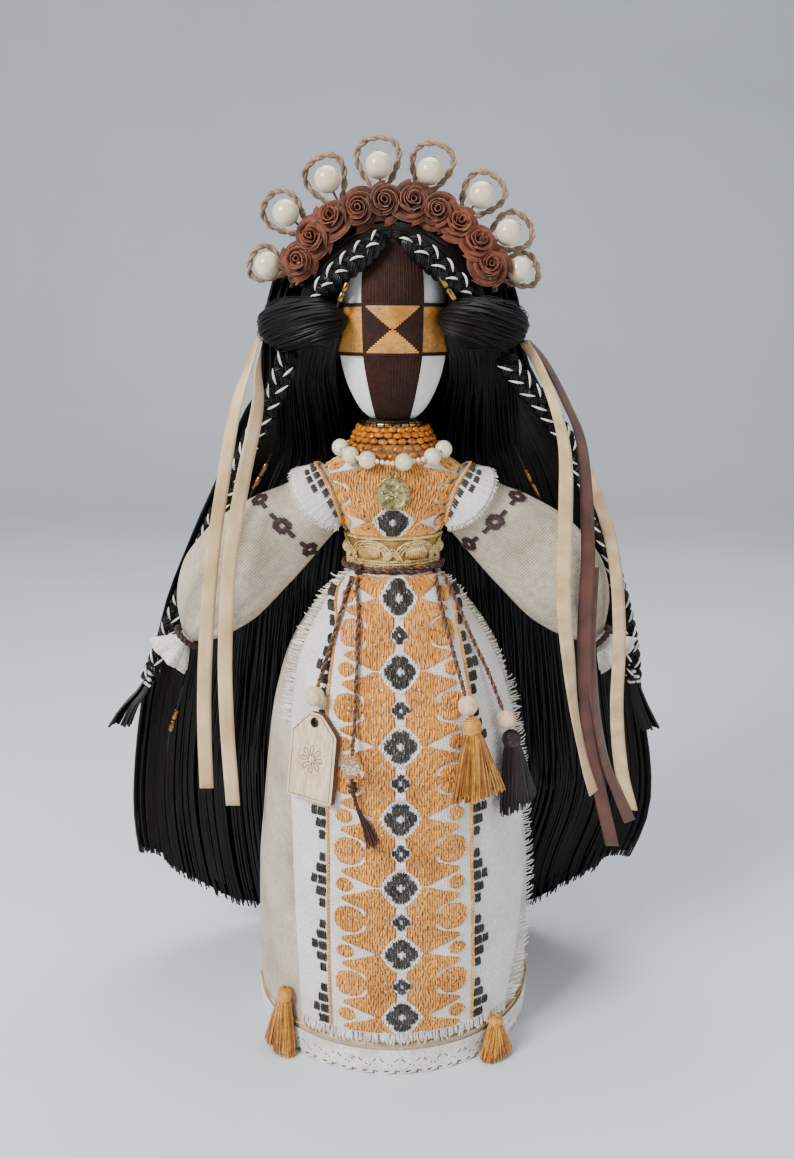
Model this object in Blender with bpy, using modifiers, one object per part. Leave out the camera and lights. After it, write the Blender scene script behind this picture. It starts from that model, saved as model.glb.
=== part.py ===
"""A thread-wound cloth doll that stands on its skirt.

The doll has a rolled cloth body, a woven linen dress with an apron, a faceless head wound with
a cross of thread, long yarn hair and a crown of twine loops, beads and paper roses.
Run it with Blender 4.5: blender --background --python part.py. Lengths are metres, +Z is up,
the doll faces -Y, and the origin is the middle of the base on the floor.
"""

import math

import bmesh
import bpy
from mathutils import Matrix, Vector

MM = 0.001

# Gaps and thicknesses that several pieces share.
GAP = 0.3 * MM
SKIRT_WALL = 1.2 * MM
APRON_THICKNESS = 1.0 * MM
CORD_DIAMETER = 1.8 * MM
RIBBON_THICKNESS = 0.5 * MM
OVERRUN = 5.0 * MM

# Base, rolled body and skirt.
BASE_THICKNESS = 3.0 * MM
HEM_RADIUS = 60.0 * MM
WAIST_RADIUS = 16.5 * MM
SKIRT_HEIGHT = 204.0 * MM
# Tables of points on the dress are drawn on a skirt that is 204 units high.
DRESS_UNIT = SKIRT_HEIGHT / 204
# Heights, as shares, at which the skirt's outside, its inside and the apron have their rows.
SKIRT_ROWS = (0.0, 0.25, 0.46, 0.62, 0.74, 0.84, 0.91, 0.965, 1.0)
LINING_ROWS = (0.0, 0.30, 0.60, 0.80, 0.91, 1.0)
APRON_ROWS = (0.098, 0.25, 0.46, 0.62, 0.74, 0.84, 0.91, 0.965, 1.0)
FOLD_DEPTH = 1.6 * MM
FOLD_COUNT = 12
ROLL_RADIUS = 12.0 * MM
LACE_HEIGHT = 12.0 * MM
LACE_THICKNESS = 0.5 * MM
SCALLOP_DEPTH = 1.0 * MM
SCALLOP_COUNT = 24
# (share of the skirt's height, share of the way from waist radius to hem radius)
SKIRT_SHARES = (
    (0.0, 1.0),
    (0.06, 1.018),
    (0.22, 1.018),
    (0.37, 0.995),
    (0.47, 0.947),
    (0.60, 0.885),
    (0.715, 0.807),
    (0.81, 0.678),
    (0.88, 0.506),
    (0.94, 0.31),
    (0.975, 0.172),
    (1.0, 0.0),
)

# Apron: its edges as angles round the skirt, by the share of the way up the apron.
APRON_FLUTE = 0.5 * MM
APRON_LEFT_EDGE = ((0.0, -38.5), (0.3, -42.0), (0.5, -47.0), (0.72, -54.0), (0.86, -62.0), (1.0, -66.0))
APRON_RIGHT_EDGE = ((0.0, 46.0), (0.3, 50.0), (0.5, 54.0), (0.72, 57.0), (0.86, 62.0), (1.0, 66.0))

# Bodice: (height, half width, half depth) shares of its height, chest width and chest depth.
WAIST_ROOM = 2.6 * MM
BODICE_BOTTOM = SKIRT_HEIGHT + WAIST_ROOM
BODICE_HEIGHT = 50.4 * MM
ROLL_SINK = 1.0 * MM
ROLL_TOP = BODICE_BOTTOM + BODICE_HEIGHT - ROLL_SINK
CHEST_HALF_WIDTH = 30.5 * MM
CHEST_HALF_DEPTH = 18.5 * MM
BODICE_SHARES = (
    (0.0, 0.585, 0.89),
    (0.12, 0.59, 0.90),
    (0.24, 0.61, 0.91),
    (0.42, 0.80, 0.96),
    (0.60, 0.98, 1.0),
    (0.77, 1.0, 0.93),
    (0.86, 0.84, 0.82),
    (0.93, 0.60, 0.72),
    (1.0, 0.435, 0.67),
)
BODICE_ROWS = 11
WAIST_BRAID_ROWS = 3
WAIST_BRAID_THICKNESS = 0.9 * MM
BELT_TUBE = 1.5 * MM
BELT_HEIGHT = BODICE_BOTTOM - GAP
BELT_KNOT_RADIUS = 2.6 * MM
BELT_KNOT_ANGLES = (-41.5, 55.0)

# Arms: the left one is listed, and the right one mirrors it.
SHOULDER_REACH = 28.0 * MM
SHOULDER_DROP = 22.5 * MM
SHOULDER_HEIGHT = BODICE_BOTTOM + BODICE_HEIGHT - SHOULDER_DROP
SHOULDER_BALL = 13.4 * MM
SOCKET_ROOM = 0.8 * MM
ARM_LENGTH = 86.0 * MM
ARM_SLOPE = 45.0
SLEEVE_FULLNESS = 21.0 * MM
SLEEVE_FLATNESS_SHARE = 0.6
# (share of the arm's length, bow as a share of it, half width as a share of the fullness)
SLEEVE_SHARES = (
    (0.0, 0.0, 0.638),
    (0.12, 0.02, 0.70),
    (0.24, 0.04, 0.82),
    (0.47, 0.06, 1.0),
    (0.66, 0.057, 0.96),
    (0.77, 0.05, 0.84),
    (0.91, 0.026, 0.56),
    (1.0, 0.0, 0.22),
)
SLEEVE_PLEAT = 1.1 * MM
TIE_TUBE = 1.5 * MM
CUFF_LENGTH = 10.5 * MM
CUFF_NECK = 3.6 * MM
CUFF_MOUTH = 10.5 * MM
CUFF_THICKNESS = 0.6 * MM
CUFF_FRILLS = 7
CUFF_FRILL_DEPTH = 1.0 * MM
WING_THICKNESS = 0.8 * MM
WING_LIFT = 1.2 * MM
WING_FLARE = 3.2 * MM
WING_REACH_SHARES = (-0.13, 0.09)
# From its back edge to its front edge, which reaches lower at the outer end.
WING_ANGLES = (-70.0, 92.0)
WING_FRONT_SPREAD = 34.0

# Neck, head and face.
NECK_RADIUS = 11.2 * MM
NECK_HEIGHT = 10.9 * MM
NECK_SLOPE = 2.0 * MM
NECK_TOP = ROLL_TOP + GAP + NECK_HEIGHT
HEAD_BOTTOM = NECK_TOP + GAP
HEAD_HEIGHT = 78.0 * MM
HEAD_RADIUS = 22.5 * MM
# Tables of points on the hair and ribbons are drawn round a head of 22.5 units, up from its bottom.
HEAD_UNIT = HEAD_RADIUS / 22.5
# (share of the head's height, share of its radius)
HEAD_SHARES = (
    (0.0, 0.42),
    (0.035, 0.56),
    (0.10, 0.71),
    (0.20, 0.86),
    (0.32, 0.96),
    (0.46, 1.0),
    (0.60, 0.985),
    (0.72, 0.92),
    (0.82, 0.80),
    (0.90, 0.65),
    (0.96, 0.43),
    (1.0, 0.0),
)
BAND_THICKNESS = 0.5 * MM
BAND_LIFT = 0.48 * MM
HEAD_ROWS = 15
FACE_BAND_HALF_WIDTH = 12.3 * MM
# (share of the head's height, share of the band's half width)
FACE_BAND_SHARES = ((0.02, 0.58), (0.12, 0.74), (0.30, 0.95), (0.45, 1.0), (0.70, 1.0), (0.93, 0.72))
GOLD_BAND_SHARES = (0.34, 0.565)

# Hair.
CAP_RADII = (37.8 * MM, 30.0 * MM, 37.6 * MM)
CAP_SETBACK = 6.0 * MM
CAP_RISE = 41.5 * MM
CAP_CENTRE = (0.0, CAP_SETBACK, HEAD_BOTTOM + CAP_RISE)
CAP_CLEARANCE = 18.5 * MM
CAP_BOTTOM = HEAD_BOTTOM + CAP_CLEARANCE
CAP_LINING = 1.7 * MM
FACE_ARCH_HALF_WIDTH = 22.5 * MM
FACE_ARCH_BACK = 10.0 * MM
# (share of the arch's half width, height share between the cap's bottom and the parting)
FACE_ARCH_SHARES = ((1.0, 0.0), (1.0, 0.35), (0.86, 0.57), (0.5, 0.83), (0.0, 1.0))
PARTING_RISE = 70.5 * MM
PARTING_HEIGHT = HEAD_BOTTOM + PARTING_RISE
HAIR_THICKNESS = 7.5 * MM
HAIR_RISE = 74.5 * MM
HAIR_TOP = HEAD_BOTTOM + HAIR_RISE
HAIR_HALF_WIDTH = 115.0 * MM
HAIR_DEPTH = 66.0 * MM
HAIR_MIDDLE_BOTTOM = 4.0 * MM
HAIR_EDGE_BOTTOM = 56.0 * MM
LOCK_DEPTH = 0.8 * MM
LOCK_COUNT = 9
# (height share, left and right half widths, side depth and back depth as shares)
HAIR_SHARES = (
    (0.0, 0.97, 0.88, 0.41, 1.0),
    (0.10, 1.05, 0.94, 0.40, 1.0),
    (0.23, 1.087, 1.07, 0.38, 1.0),
    (0.386, 1.026, 1.017, 0.365, 0.90),
    (0.462, 0.957, 0.974, 0.36, 0.81),
    (0.533, 0.896, 0.913, 0.356, 0.66),
    (0.615, 0.791, 0.835, 0.32, 0.55),
    (0.695, 0.67, 0.748, 0.245, 0.53),
    (0.77, 0.565, 0.617, 0.152, 0.545),
    (0.80, 0.50, 0.557, 0.13, 0.555),
    (0.846, 0.48, 0.487, 0.121, 0.56),
    (0.876, 0.475, 0.475, 0.121, 0.565),
    (0.92, 0.45, 0.45, 0.129, 0.57),
    (0.953, 0.415, 0.415, 0.136, 0.53),
    (0.976, 0.355, 0.355, 0.136, 0.465),
    (1.0, 0.265, 0.265, 0.136, 0.335),
)
HAIR_ROWS = (0.0, 0.16, 0.32, 0.46, 0.58, 0.69, 0.78, 0.86, 0.92, 0.965, 1.0)
TEMPLE_ROLL_RADIUS = 9.8 * MM
FRONT_BRAID_RADIUS = 6.0 * MM
SIDE_BRAID_RADIUS = 5.2 * MM
# Middles of the rolls and braids as (x, y, height) in head units. The first two tables are mirrored.
TEMPLE_ROLL_POINTS = (
    (19.5, -15.5, 39.0),
    (28.0, -19.5, 38.5),
    (40.0, -14.5, 37.5),
    (46.5, -4.0, 37.0),
    (44.0, 4.0, 36.5),
)
FRONT_BRAID_POINTS = (
    (3.4, -20.4, 69.7),
    (12.0, -21.6, 65.0),
    (21.5, -19.0, 58.5),
    (29.0, -15.6, 51.9),
    (33.4, -13.0, 49.1),
)
LEFT_BRAID_POINTS = (
    (-41.6, -8.2, 26.4),
    (-47.4, -5.0, 12.0),
    (-55.2, -1.0, -2.5),
    (-68.2, 7.0, -27.5),
    (-82.4, 15.3, -54.5),
    (-94.8, 16.8, -81.5),
    (-105.0, 16.6, -104.5),
    (-113.0, 15.0, -122.5),
    (-120.0, 14.0, -131.5),
    (-125.0, 14.0, -140.5),
)
RIGHT_BRAID_POINTS = (
    (44.2, -8.5, 24.4),
    (53.4, -5.0, 14.0),
    (65.4, -1.0, 0.5),
    (78.1, 7.0, -19.5),
    (91.2, 14.5, -50.5),
    (100.4, 16.0, -77.5),
    (106.7, 16.0, -100.5),
    (109.5, 15.0, -119.5),
    (112.5, 14.0, -130.5),
    (117.0, 14.0, -142.0),
)
TEMPLE_ROLL_SHARES = (0.30, 0.62, 0.84, 0.96, 1.0, 1.0, 1.0, 0.98, 0.93, 0.84, 0.66, 0.36)
FRONT_BRAID_SHARES = (0.42, 0.68, 0.82, 0.88, 0.88, 0.86, 0.82, 0.74, 0.62, 0.40)
# A side braid's plait, its tie and its tuft, as shares of its length and of its radius.
BRAID_END_SHARE = 0.86
BRAID_TIE_SHARE = 0.89
BRAID_TIE_NARROW_SHARE = 0.46
BRAID_STEPS = 24

# Ribbons in head units: the middle's x, y and height, then half the width as x, y and height.
LEFT_CREAM_RIBBON = (
    (-80.6, -19.0, -157.5, 3.0, 0.0, 0.0),
    (-80.4, -19.0, -127.5, 3.0, 0.0, 0.0),
    (-78.6, -19.0, -95.5, 3.0, 0.0, 0.0),
    (-74.4, -19.0, -57.5, 3.0, 0.0, 0.0),
    (-68.8, -18.0, -24.5, 2.9, 0.0, 0.6),
    (-63.4, -14.0, 4.5, 2.8, 0.0, 0.9),
    (-58.4, -9.5, 20.5, 2.4, -1.6, 0.6),
    (-52.8, -5.7, 34.8, 0.6, -2.9, 0.0),
    (-54.2, -12.0, 20.5, -2.0, -2.0, 0.6),
    (-54.6, -15.0, 4.5, -2.7, -1.2, 0.6),
    (-60.4, -22.4, -24.5, -2.9, -0.5, 0.5),
    (-66.6, -23.4, -57.5, -3.0, 0.0, 0.0),
    (-69.7, -23.4, -95.5, -3.0, 0.0, 0.0),
    (-70.0, -23.4, -127.5, -3.0, 0.0, 0.0),
    (-68.7, -23.4, -163.5, -3.0, 0.0, 0.0),
)
RIGHT_CREAM_RIBBON = (
    (86.8, -20.0, -159.5, 1.4, 1.4, 0.4),
    (82.4, -20.0, -145.5, 1.2, 1.8, 0.3),
    (77.1, -20.5, -122.5, 1.6, 1.6, 0.3),
    (73.6, -21.0, -99.5, 2.6, 0.8, 0.2),
    (70.6, -21.0, -73.5, 3.0, 0.0, 0.0),
    (70.2, -20.5, -40.5, 3.0, 0.0, 0.0),
    (69.4, -18.5, -12.5, 2.9, 0.0, -0.5),
    (64.8, -14.0, 6.5, 2.6, 0.0, -1.3),
    (58.6, -9.0, 21.5, 2.2, -1.6, -1.0),
    (53.0, -6.2, 30.5, 1.4, -2.6, 0.6),
)
RIGHT_BROWN_RIBBON = (
    (97.2, -13.5, -187.5, 3.0, 0.0, 0.0),
    (90.2, -13.5, -159.5, 3.0, 0.0, 0.0),
    (83.8, -14.0, -127.5, 3.0, 0.0, 0.0),
    (80.7, -15.0, -91.5, 3.0, 0.0, 0.0),
    (80.8, -15.0, -53.5, 3.0, 0.0, 0.0),
    (77.4, -12.0, -12.5, 2.9, 0.3, -0.5),
    (70.4, -8.6, 6.5, 2.6, 0.8, -1.3),
    (61.4, -3.0, 23.5, 2.4, 1.6, -1.0),
    (54.4, -0.5, 31.4, 2.0, 2.2, -0.4),
)

# Crown: angles run clockwise from straight up, seen from the front.
CROWN_CENTRE_HEIGHT = CAP_CENTRE[2]
CROWN_BAND_RADIUS = 38.1 * MM
CROWN_BAND_THICKNESS = 2.8 * MM
CROWN_BAND_DEPTH = 10.8 * MM
CROWN_BAND_PLANE = -1.9 * MM
CROWN_SPREAD = 73.0
ROSE_RING_RADIUS = 42.5 * MM
ROSE_RADIUS = 6.8 * MM
ROSE_HEIGHT = 6.4 * MM
ROSE_FRONT = -7.9 * MM
ROSE_ANGLES = (-61.0, -47.0, -33.0, -18.5, -4.0, 10.5, 24.0, 37.5, 51.0, 64.5)
GARLAND_CORE = 2.2 * MM
TWINE_DIAMETER = 2.6 * MM
TWINE_PLANE = 3.2 * MM
TWINE_SWING = 2.6 * MM
LOOP_FOOT_RADIUS = 42.6 * MM
LOOP_REACH = 70.0 * MM
LOOP_HALF_WIDTH = 10.4 * MM
LOOP_EASE = 2.2
# (angle, reach as a share of the longest, half width as a share of the widest)
LOOP_SHARES = (
    (-69.0, 0.90, 0.82),
    (-47.5, 0.985, 0.93),
    (-26.5, 0.985, 1.0),
    (-5.5, 1.0, 1.04),
    (15.0, 0.995, 1.0),
    (37.5, 0.985, 1.0),
    (56.0, 0.955, 0.93),
    (71.5, 0.90, 0.82),
)
LOOP_POINTS = 13
CROWN_BEAD_RADIUS = 5.3 * MM
CROWN_BEAD_REACH = 57.6 * MM
CROWN_BEAD_PLANE = -4.5 * MM
STEM_RADIUS = 0.5 * MM
# (angle, reach as a share of the longest)
CROWN_BEAD_SHARES = (
    (-69.0, 0.93),
    (-47.3, 1.0),
    (-26.5, 1.0),
    (-5.5, 0.99),
    (15.0, 0.98),
    (37.5, 1.0),
    (55.6, 0.97),
    (71.3, 0.93),
)

# Necklaces and pendant.
CHOKER_RADIUS = 13.1 * MM
CHOKER_TUBE = 1.2 * MM
CHOKER_DROP = 2.0 * MM
CHOKER_HEIGHT = NECK_TOP - CHOKER_DROP
AMBER_HALF_HEIGHT = 3.6 * MM
AMBER_HALF_THICKNESS = 1.5 * MM
AMBER_RADIUS = 16.8 * MM
AMBER_RISE = 2.2 * MM
AMBER_HEIGHT = ROLL_TOP + AMBER_RISE
AMBER_DROP = 1.8 * MM
BEAD_STRING = 1.4 * MM
BEAD_STRING_RADIUS = 21.0 * MM
BEAD_STRING_DROP = 5.2 * MM
# (angle from the front, share of the string's radius, share of its drop below the roll's top)
BEAD_STRING_SHARES = (
    (0.0, 1.0, 1.0),
    (45.0, 1.062, 0.615),
    (70.0, 1.086, 0.077),
    (100.0, 1.0, -0.038),
    (140.0, 0.914, -0.115),
    (180.0, 0.89, -0.115),
)
IVORY_BEAD_RADIUS = 3.9 * MM
IVORY_BEAD_ANGLES = (-72.0, -50.0, -28.0, 12.0, 46.0, 66.0)
COIN_RADIUS = 7.0 * MM
COIN_THICKNESS = 1.2 * MM
COIN_SHARE = 0.627
COIN_HEIGHT = BODICE_BOTTOM + BODICE_HEIGHT * COIN_SHARE
COIN_RING_RADIUS = 1.5 * MM
COIN_RING_WIRE = 0.5 * MM

# What hangs from the belt.
WOOD_BEAD_RADIUS = 4.0 * MM
TAG_WIDTH = 23.0 * MM
TAG_HEIGHT = 36.0 * MM
TAG_THICKNESS = 3.0 * MM
TAG_SHOULDER = 8.0 * MM
TAG_HOLE_RADIUS = 2.0 * MM
TAG_ANGLE = -34.0
TAG_MIDDLE_HEIGHT = SKIRT_HEIGHT * 2 / 3
TAG_SKIRT_LIFT = 2.5 * MM
CRYSTAL_RADIUS = 4.2 * MM
TASSEL_HEIGHT = 33.0 * MM
TASSEL_HEAD_RADIUS = 3.6 * MM
TASSEL_SPREAD_RADIUS = 12.0 * MM
TASSEL_FLATNESS_SHARE = 0.36
HEM_TASSEL_SPREAD = 7.6 * MM
HEM_TASSEL_CLEARANCE = 1.0 * MM
# (name, angle round the skirt, how far its end swings, top in dress units)
HEM_TASSELS = (("left_hem_tassel", -44.5, -3.5, 31.5), ("right_hem_tassel", 42.0, 0.0, 19.0))

# Routes of the cords that hang from the belt: (angle, height, lift) over the skirt, in dress units.
TAG_CORD_STATIONS = (
    (-45.5, 200.5, 3.5),
    (-38.5, 192.0, 3.3),
    (-36.0, 180.0, 3.3),
    (-34.8, 170.0, 4.4),
    (-34.4, 162.5, 6.2),
)
CRYSTAL_CORD_STATIONS = (
    (-36.5, 200.5, 3.6),
    (-31.0, 196.8, 3.7),
    (-25.5, 192.0, 3.5),
    (-20.6, 182.0, 3.3),
    (-17.2, 166.0, 3.3),
    (-16.0, 152.0, 4.2),
    (-15.6, 139.5, 6.4),
)
CORD_TAIL_STATIONS = (
    (-15.5, 130.2, 6.2),
    (-15.0, 125.0, 5.6),
    (-12.8, 117.0, 4.8),
    (-9.6, 110.0, 4.6),
    (-7.6, 103.5, 4.8),
)
CORD_TAIL_SHARES = (1.0, 2.4, 1.7, 1.6, 1.5, 1.6, 1.7, 1.9, 2.3, 2.6, 2.9, 3.0)
GOLD_CORD_STATIONS = (
    (48.5, 200.5, 3.5),
    (37.0, 192.0, 3.4),
    (34.0, 181.0, 3.3),
    (32.6, 170.0, 4.4),
    (32.2, 159.5, 6.2),
)
DARK_CORD_STATIONS = (
    (61.5, 200.5, 3.6),
    (53.0, 192.0, 3.5),
    (50.4, 179.0, 3.3),
    (51.2, 164.0, 4.4),
    (52.4, 150.0, 6.2),
)


# Small tools.


def start_scene():
    """Empties the scene and returns the doll's collection and the cutters' collection."""
    for old in list(bpy.data.objects):
        bpy.data.objects.remove(old, do_unlink=True)
    made = []
    for title in ("thread_wound_doll", "cutters"):
        group = bpy.data.collections.new(title)
        bpy.context.scene.collection.children.link(group)
        made.append(group)
    return made


DOLL, CUTTERS = start_scene()


def material(title, colour, roughness, metallic=0.0):
    made = bpy.data.materials.get(title) or bpy.data.materials.new(title)
    made.use_nodes = True
    shader = made.node_tree.nodes["Principled BSDF"]
    shader.inputs["Base Color"].default_value = (*colour, 1.0)
    shader.inputs["Roughness"].default_value = roughness
    shader.inputs["Metallic"].default_value = metallic
    return made


LINEN = material("natural_linen", (0.68, 0.62, 0.53), 0.9)
WHITE_CLOTH = material("white_cotton", (0.82, 0.82, 0.80), 0.85)
WOVEN = material("gold_woven_cloth", (0.72, 0.52, 0.27), 0.85)
GOLD_THREAD = material("gold_thread", (0.66, 0.40, 0.11), 0.5)
BROWN_THREAD = material("brown_thread", (0.09, 0.05, 0.035), 0.6)
HAIR = material("black_yarn", (0.012, 0.010, 0.010), 0.55)
JUTE = material("jute_twine", (0.42, 0.28, 0.19), 0.95)
PAPER = material("brown_paper", (0.36, 0.13, 0.06), 0.8)
IVORY = material("ivory_bead", (0.80, 0.76, 0.66), 0.25)
WOOD = material("pale_wood", (0.74, 0.55, 0.38), 0.6)
AMBER = material("amber_glass", (0.55, 0.20, 0.02), 0.15)
BRASS = material("aged_brass", (0.45, 0.38, 0.20), 0.4, 1.0)
CREAM_SATIN = material("cream_satin", (0.78, 0.62, 0.42), 0.35)
BROWN_SATIN = material("brown_satin", (0.14, 0.05, 0.035), 0.4)
BOARD = material("base_board", (0.60, 0.52, 0.42), 0.9)


def value_at(table, key, column=1):
    """The smooth value of a table's column at a key, held level past its ends."""
    if key <= table[0][0]:
        return table[0][column]
    for index in range(len(table) - 1):
        here, there = table[index], table[index + 1]
        if key > there[0]:
            continue
        before = table[max(index - 1, 0)]
        after = table[min(index + 2, len(table) - 1)]
        span = there[0] - here[0]
        leave = (there[column] - before[column]) / (there[0] - before[0]) * span
        arrive = (after[column] - here[column]) / (after[0] - here[0]) * span
        t = (key - here[0]) / span
        rise = t * t * (3 - 2 * t)
        return (
            here[column] * (1 - rise)
            + there[column] * rise
            + leave * t * (1 - t) ** 2
            - arrive * t * t * (1 - t)
        )
    return table[-1][column]


def smooth_route(points, count):
    """Count points, evenly spaced, on a smooth curve through the given ones."""
    fine = []
    for index in range(len(points) - 1):
        a, b = points[index], points[index + 1]
        before = points[index - 1] if index else a * 2 - b
        after = points[index + 2] if index + 2 < len(points) else b * 2 - a
        for step in range(12):
            t = step / 12
            fine.append(
                (
                    b * 2 * t * t * (3 - 2 * t)
                    + a * 2 * (1 - t * t * (3 - 2 * t))
                    + (b - before) * t * (1 - t) ** 2
                    - (after - a) * t * t * (1 - t)
                )
                / 2
            )
    fine.append(points[-1])
    walked = [0.0]
    for near, far in zip(fine, fine[1:]):
        walked.append(walked[-1] + (far - near).length)
    route = []
    spot = 0
    for index in range(count):
        target = walked[-1] * index / (count - 1)
        while spot < len(fine) - 2 and walked[spot + 1] < target:
            spot += 1
        share = (target - walked[spot]) / (walked[spot + 1] - walked[spot])
        route.append(fine[spot].lerp(fine[spot + 1], share))
    return route


def add_object(title, data, finish, group=None):
    made = bpy.data.objects.new(title, data)
    data.materials.append(finish)
    (group or DOLL).objects.link(made)
    if group == CUTTERS:
        made.hide_render = True
        made.display_type = "WIRE"
    return made


def add_mesh(title, bm, finish, group=None, smooth=True):
    mesh = bpy.data.meshes.new(title)
    bm.to_mesh(mesh)
    bm.free()
    if smooth:
        mesh.shade_smooth()
        mesh.set_sharp_from_angle(angle=math.radians(50))
    return add_object(title, mesh, finish, group)


def mapped_grid(columns, rows, place):
    """A bmesh grid whose point (u, v), each 0 to 1, is moved to place(u, v)."""
    bm = bmesh.new()
    bmesh.ops.create_grid(bm, x_segments=columns, y_segments=rows, size=0.5)
    for vert in bm.verts:
        vert.co = place(vert.co.x + 0.5, vert.co.y + 0.5)
    return bm


def closed_form(title, columns, rows, place, finish, group=None):
    """A closed body: u goes round it, v along it, and open ends are capped."""
    bm = mapped_grid(columns, rows, place)
    bmesh.ops.remove_doubles(bm, verts=bm.verts, dist=1e-6)
    rims = [edge for edge in bm.edges if edge.is_boundary]
    if rims:
        bmesh.ops.holes_fill(bm, edges=rims, sides=0)
    bmesh.ops.recalc_face_normals(bm, faces=bm.faces)
    return add_mesh(title, bm, finish, group)


def sheet_form(title, columns, rows, place, thickness, finish, ring=False):
    """A cloth sheet, thickened on the side that its normals face."""
    bm = mapped_grid(columns, rows, place)
    if ring:
        bmesh.ops.remove_doubles(bm, verts=bm.verts, dist=1e-6)
    made = add_mesh(title, bm, finish)
    wall = made.modifiers.new("thickness", "SOLIDIFY")
    wall.thickness = thickness
    wall.offset = 1.0
    wall.use_even_offset = False
    return made


def turned_form(title, profile, finish, steps=32, group=None):
    """A turned body from (radius, height) points that run down its outer side."""
    bm = bmesh.new()
    verts = [bm.verts.new((radius, 0.0, height)) for radius, height in profile]
    for upper, lower in zip(verts, verts[1:]):
        bm.edges.new((upper, lower))
    made = add_mesh(title, bm, finish, group, smooth=False)
    screw = made.modifiers.new("turn", "SCREW")
    screw.steps = steps
    screw.render_steps = steps
    screw.use_merge_vertices = True
    screw.merge_threshold = 1e-5
    return made


def tube_form(title, route, radius, finish, sides=2, widths=None, closed=False, group=None):
    """A tube along a route. widths holds a share of the radius for each point."""
    curve = bpy.data.curves.new(title, "CURVE")
    curve.dimensions = "3D"
    curve.bevel_depth = radius
    curve.bevel_resolution = sides
    curve.use_fill_caps = not closed
    spline = curve.splines.new("POLY")
    spline.points.add(len(route) - 1)
    for index, (point, spot) in enumerate(zip(spline.points, route)):
        point.co = (*spot, 1.0)
        point.radius = widths[index] if widths else 1.0
    spline.use_cyclic_u = closed
    return add_object(title, curve, finish, group)


def as_mesh(made):
    """Turns a curve object, or one with modifiers, into a plain closed mesh object."""
    title = made.name
    group = CUTTERS if made.name in CUTTERS.objects else DOLL
    bpy.context.view_layer.update()
    evaluated = made.evaluated_get(bpy.context.evaluated_depsgraph_get())
    mesh = bpy.data.meshes.new_from_object(evaluated)
    bm = bmesh.new()
    bm.from_mesh(mesh)
    bmesh.ops.remove_doubles(bm, verts=bm.verts, dist=1e-6)
    bm.to_mesh(mesh)
    bm.free()
    place = made.matrix_world.copy()
    bpy.data.objects.remove(made, do_unlink=True)
    fresh = bpy.data.objects.new(title, mesh)
    fresh.matrix_world = place
    group.objects.link(fresh)
    if group == CUTTERS:
        fresh.hide_render = True
        fresh.display_type = "WIRE"
    return fresh


def combine(target, operation, *others):
    for other in others:
        step = target.modifiers.new(f"{operation.lower()}_{other.name}", "BOOLEAN")
        step.operation = operation
        step.object = other
    return target


def hang_on(title, point, names):
    """Parents pieces, where they stand, to an empty on their joint's axis."""
    pivot = bpy.data.objects.new(title, None)
    pivot.location = point
    DOLL.objects.link(pivot)
    bpy.context.view_layer.update()
    for name in names:
        piece = bpy.data.objects[name]
        piece.parent = pivot
        piece.matrix_parent_inverse = pivot.matrix_world.inverted()


def ball(title, centre, radii, finish, group=None, segments=10):
    """An ellipsoid with its own axes along X, Y and Z."""
    bm = bmesh.new()
    scale = Matrix.Diagonal((*radii, 1.0))
    bmesh.ops.create_uvsphere(
        bm, u_segments=segments, v_segments=max(6, segments * 2 // 3), radius=1.0,
        matrix=Matrix.Translation(centre) @ scale,
    )
    return add_mesh(title, bm, finish, group)


def block(title, low, high, finish, group):
    bm = bmesh.new()
    low, high = Vector(low), Vector(high)
    matrix = Matrix.Translation((low + high) / 2) @ Matrix.Diagonal((*(high - low), 1.0))
    bmesh.ops.create_cube(bm, size=1.0, matrix=matrix)
    return add_mesh(title, bm, finish, group, smooth=False)


# The surfaces that other pieces lie on.


def skirt_radius(height):
    share = value_at(SKIRT_SHARES, height / SKIRT_HEIGHT)
    return WAIST_RADIUS + (HEM_RADIUS - WAIST_RADIUS) * share


def on_skirt(angle, height, lift=0.0):
    """A point over the skirt, angle degrees to the right of its front, lifted square to it."""
    step = SKIRT_HEIGHT / 400
    low, high = max(height - step, 0.0), min(height + step, SKIRT_HEIGHT)
    slope = math.atan2(skirt_radius(low) - skirt_radius(high), high - low)
    radius = skirt_radius(height) + lift * math.cos(slope)
    turn = math.radians(angle)
    return Vector((radius * math.sin(turn), -radius * math.cos(turn), height + lift * math.sin(slope)))


def on_bodice(angle, share, lift=0.0):
    """A point over the bodice, at a share of its height."""
    turn = math.radians(angle)
    wide = CHEST_HALF_WIDTH * value_at(BODICE_SHARES, share, 1) + lift
    deep = CHEST_HALF_DEPTH * value_at(BODICE_SHARES, share, 2) + lift
    return Vector((wide * math.sin(turn), -deep * math.cos(turn), BODICE_BOTTOM + BODICE_HEIGHT * share))


def head_radius(height):
    return HEAD_RADIUS * value_at(HEAD_SHARES, (height - HEAD_BOTTOM) / HEAD_HEIGHT)


def on_head(angle, height, lift=0.0):
    turn = math.radians(angle)
    radius = head_radius(height) + lift
    return Vector((radius * math.sin(turn), -radius * math.cos(turn), height))


def crown_point(angle, radius, depth):
    turn = math.radians(angle)
    return Vector((radius * math.sin(turn), depth, CROWN_CENTRE_HEIGHT + radius * math.cos(turn)))


# Body and dress.


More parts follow.
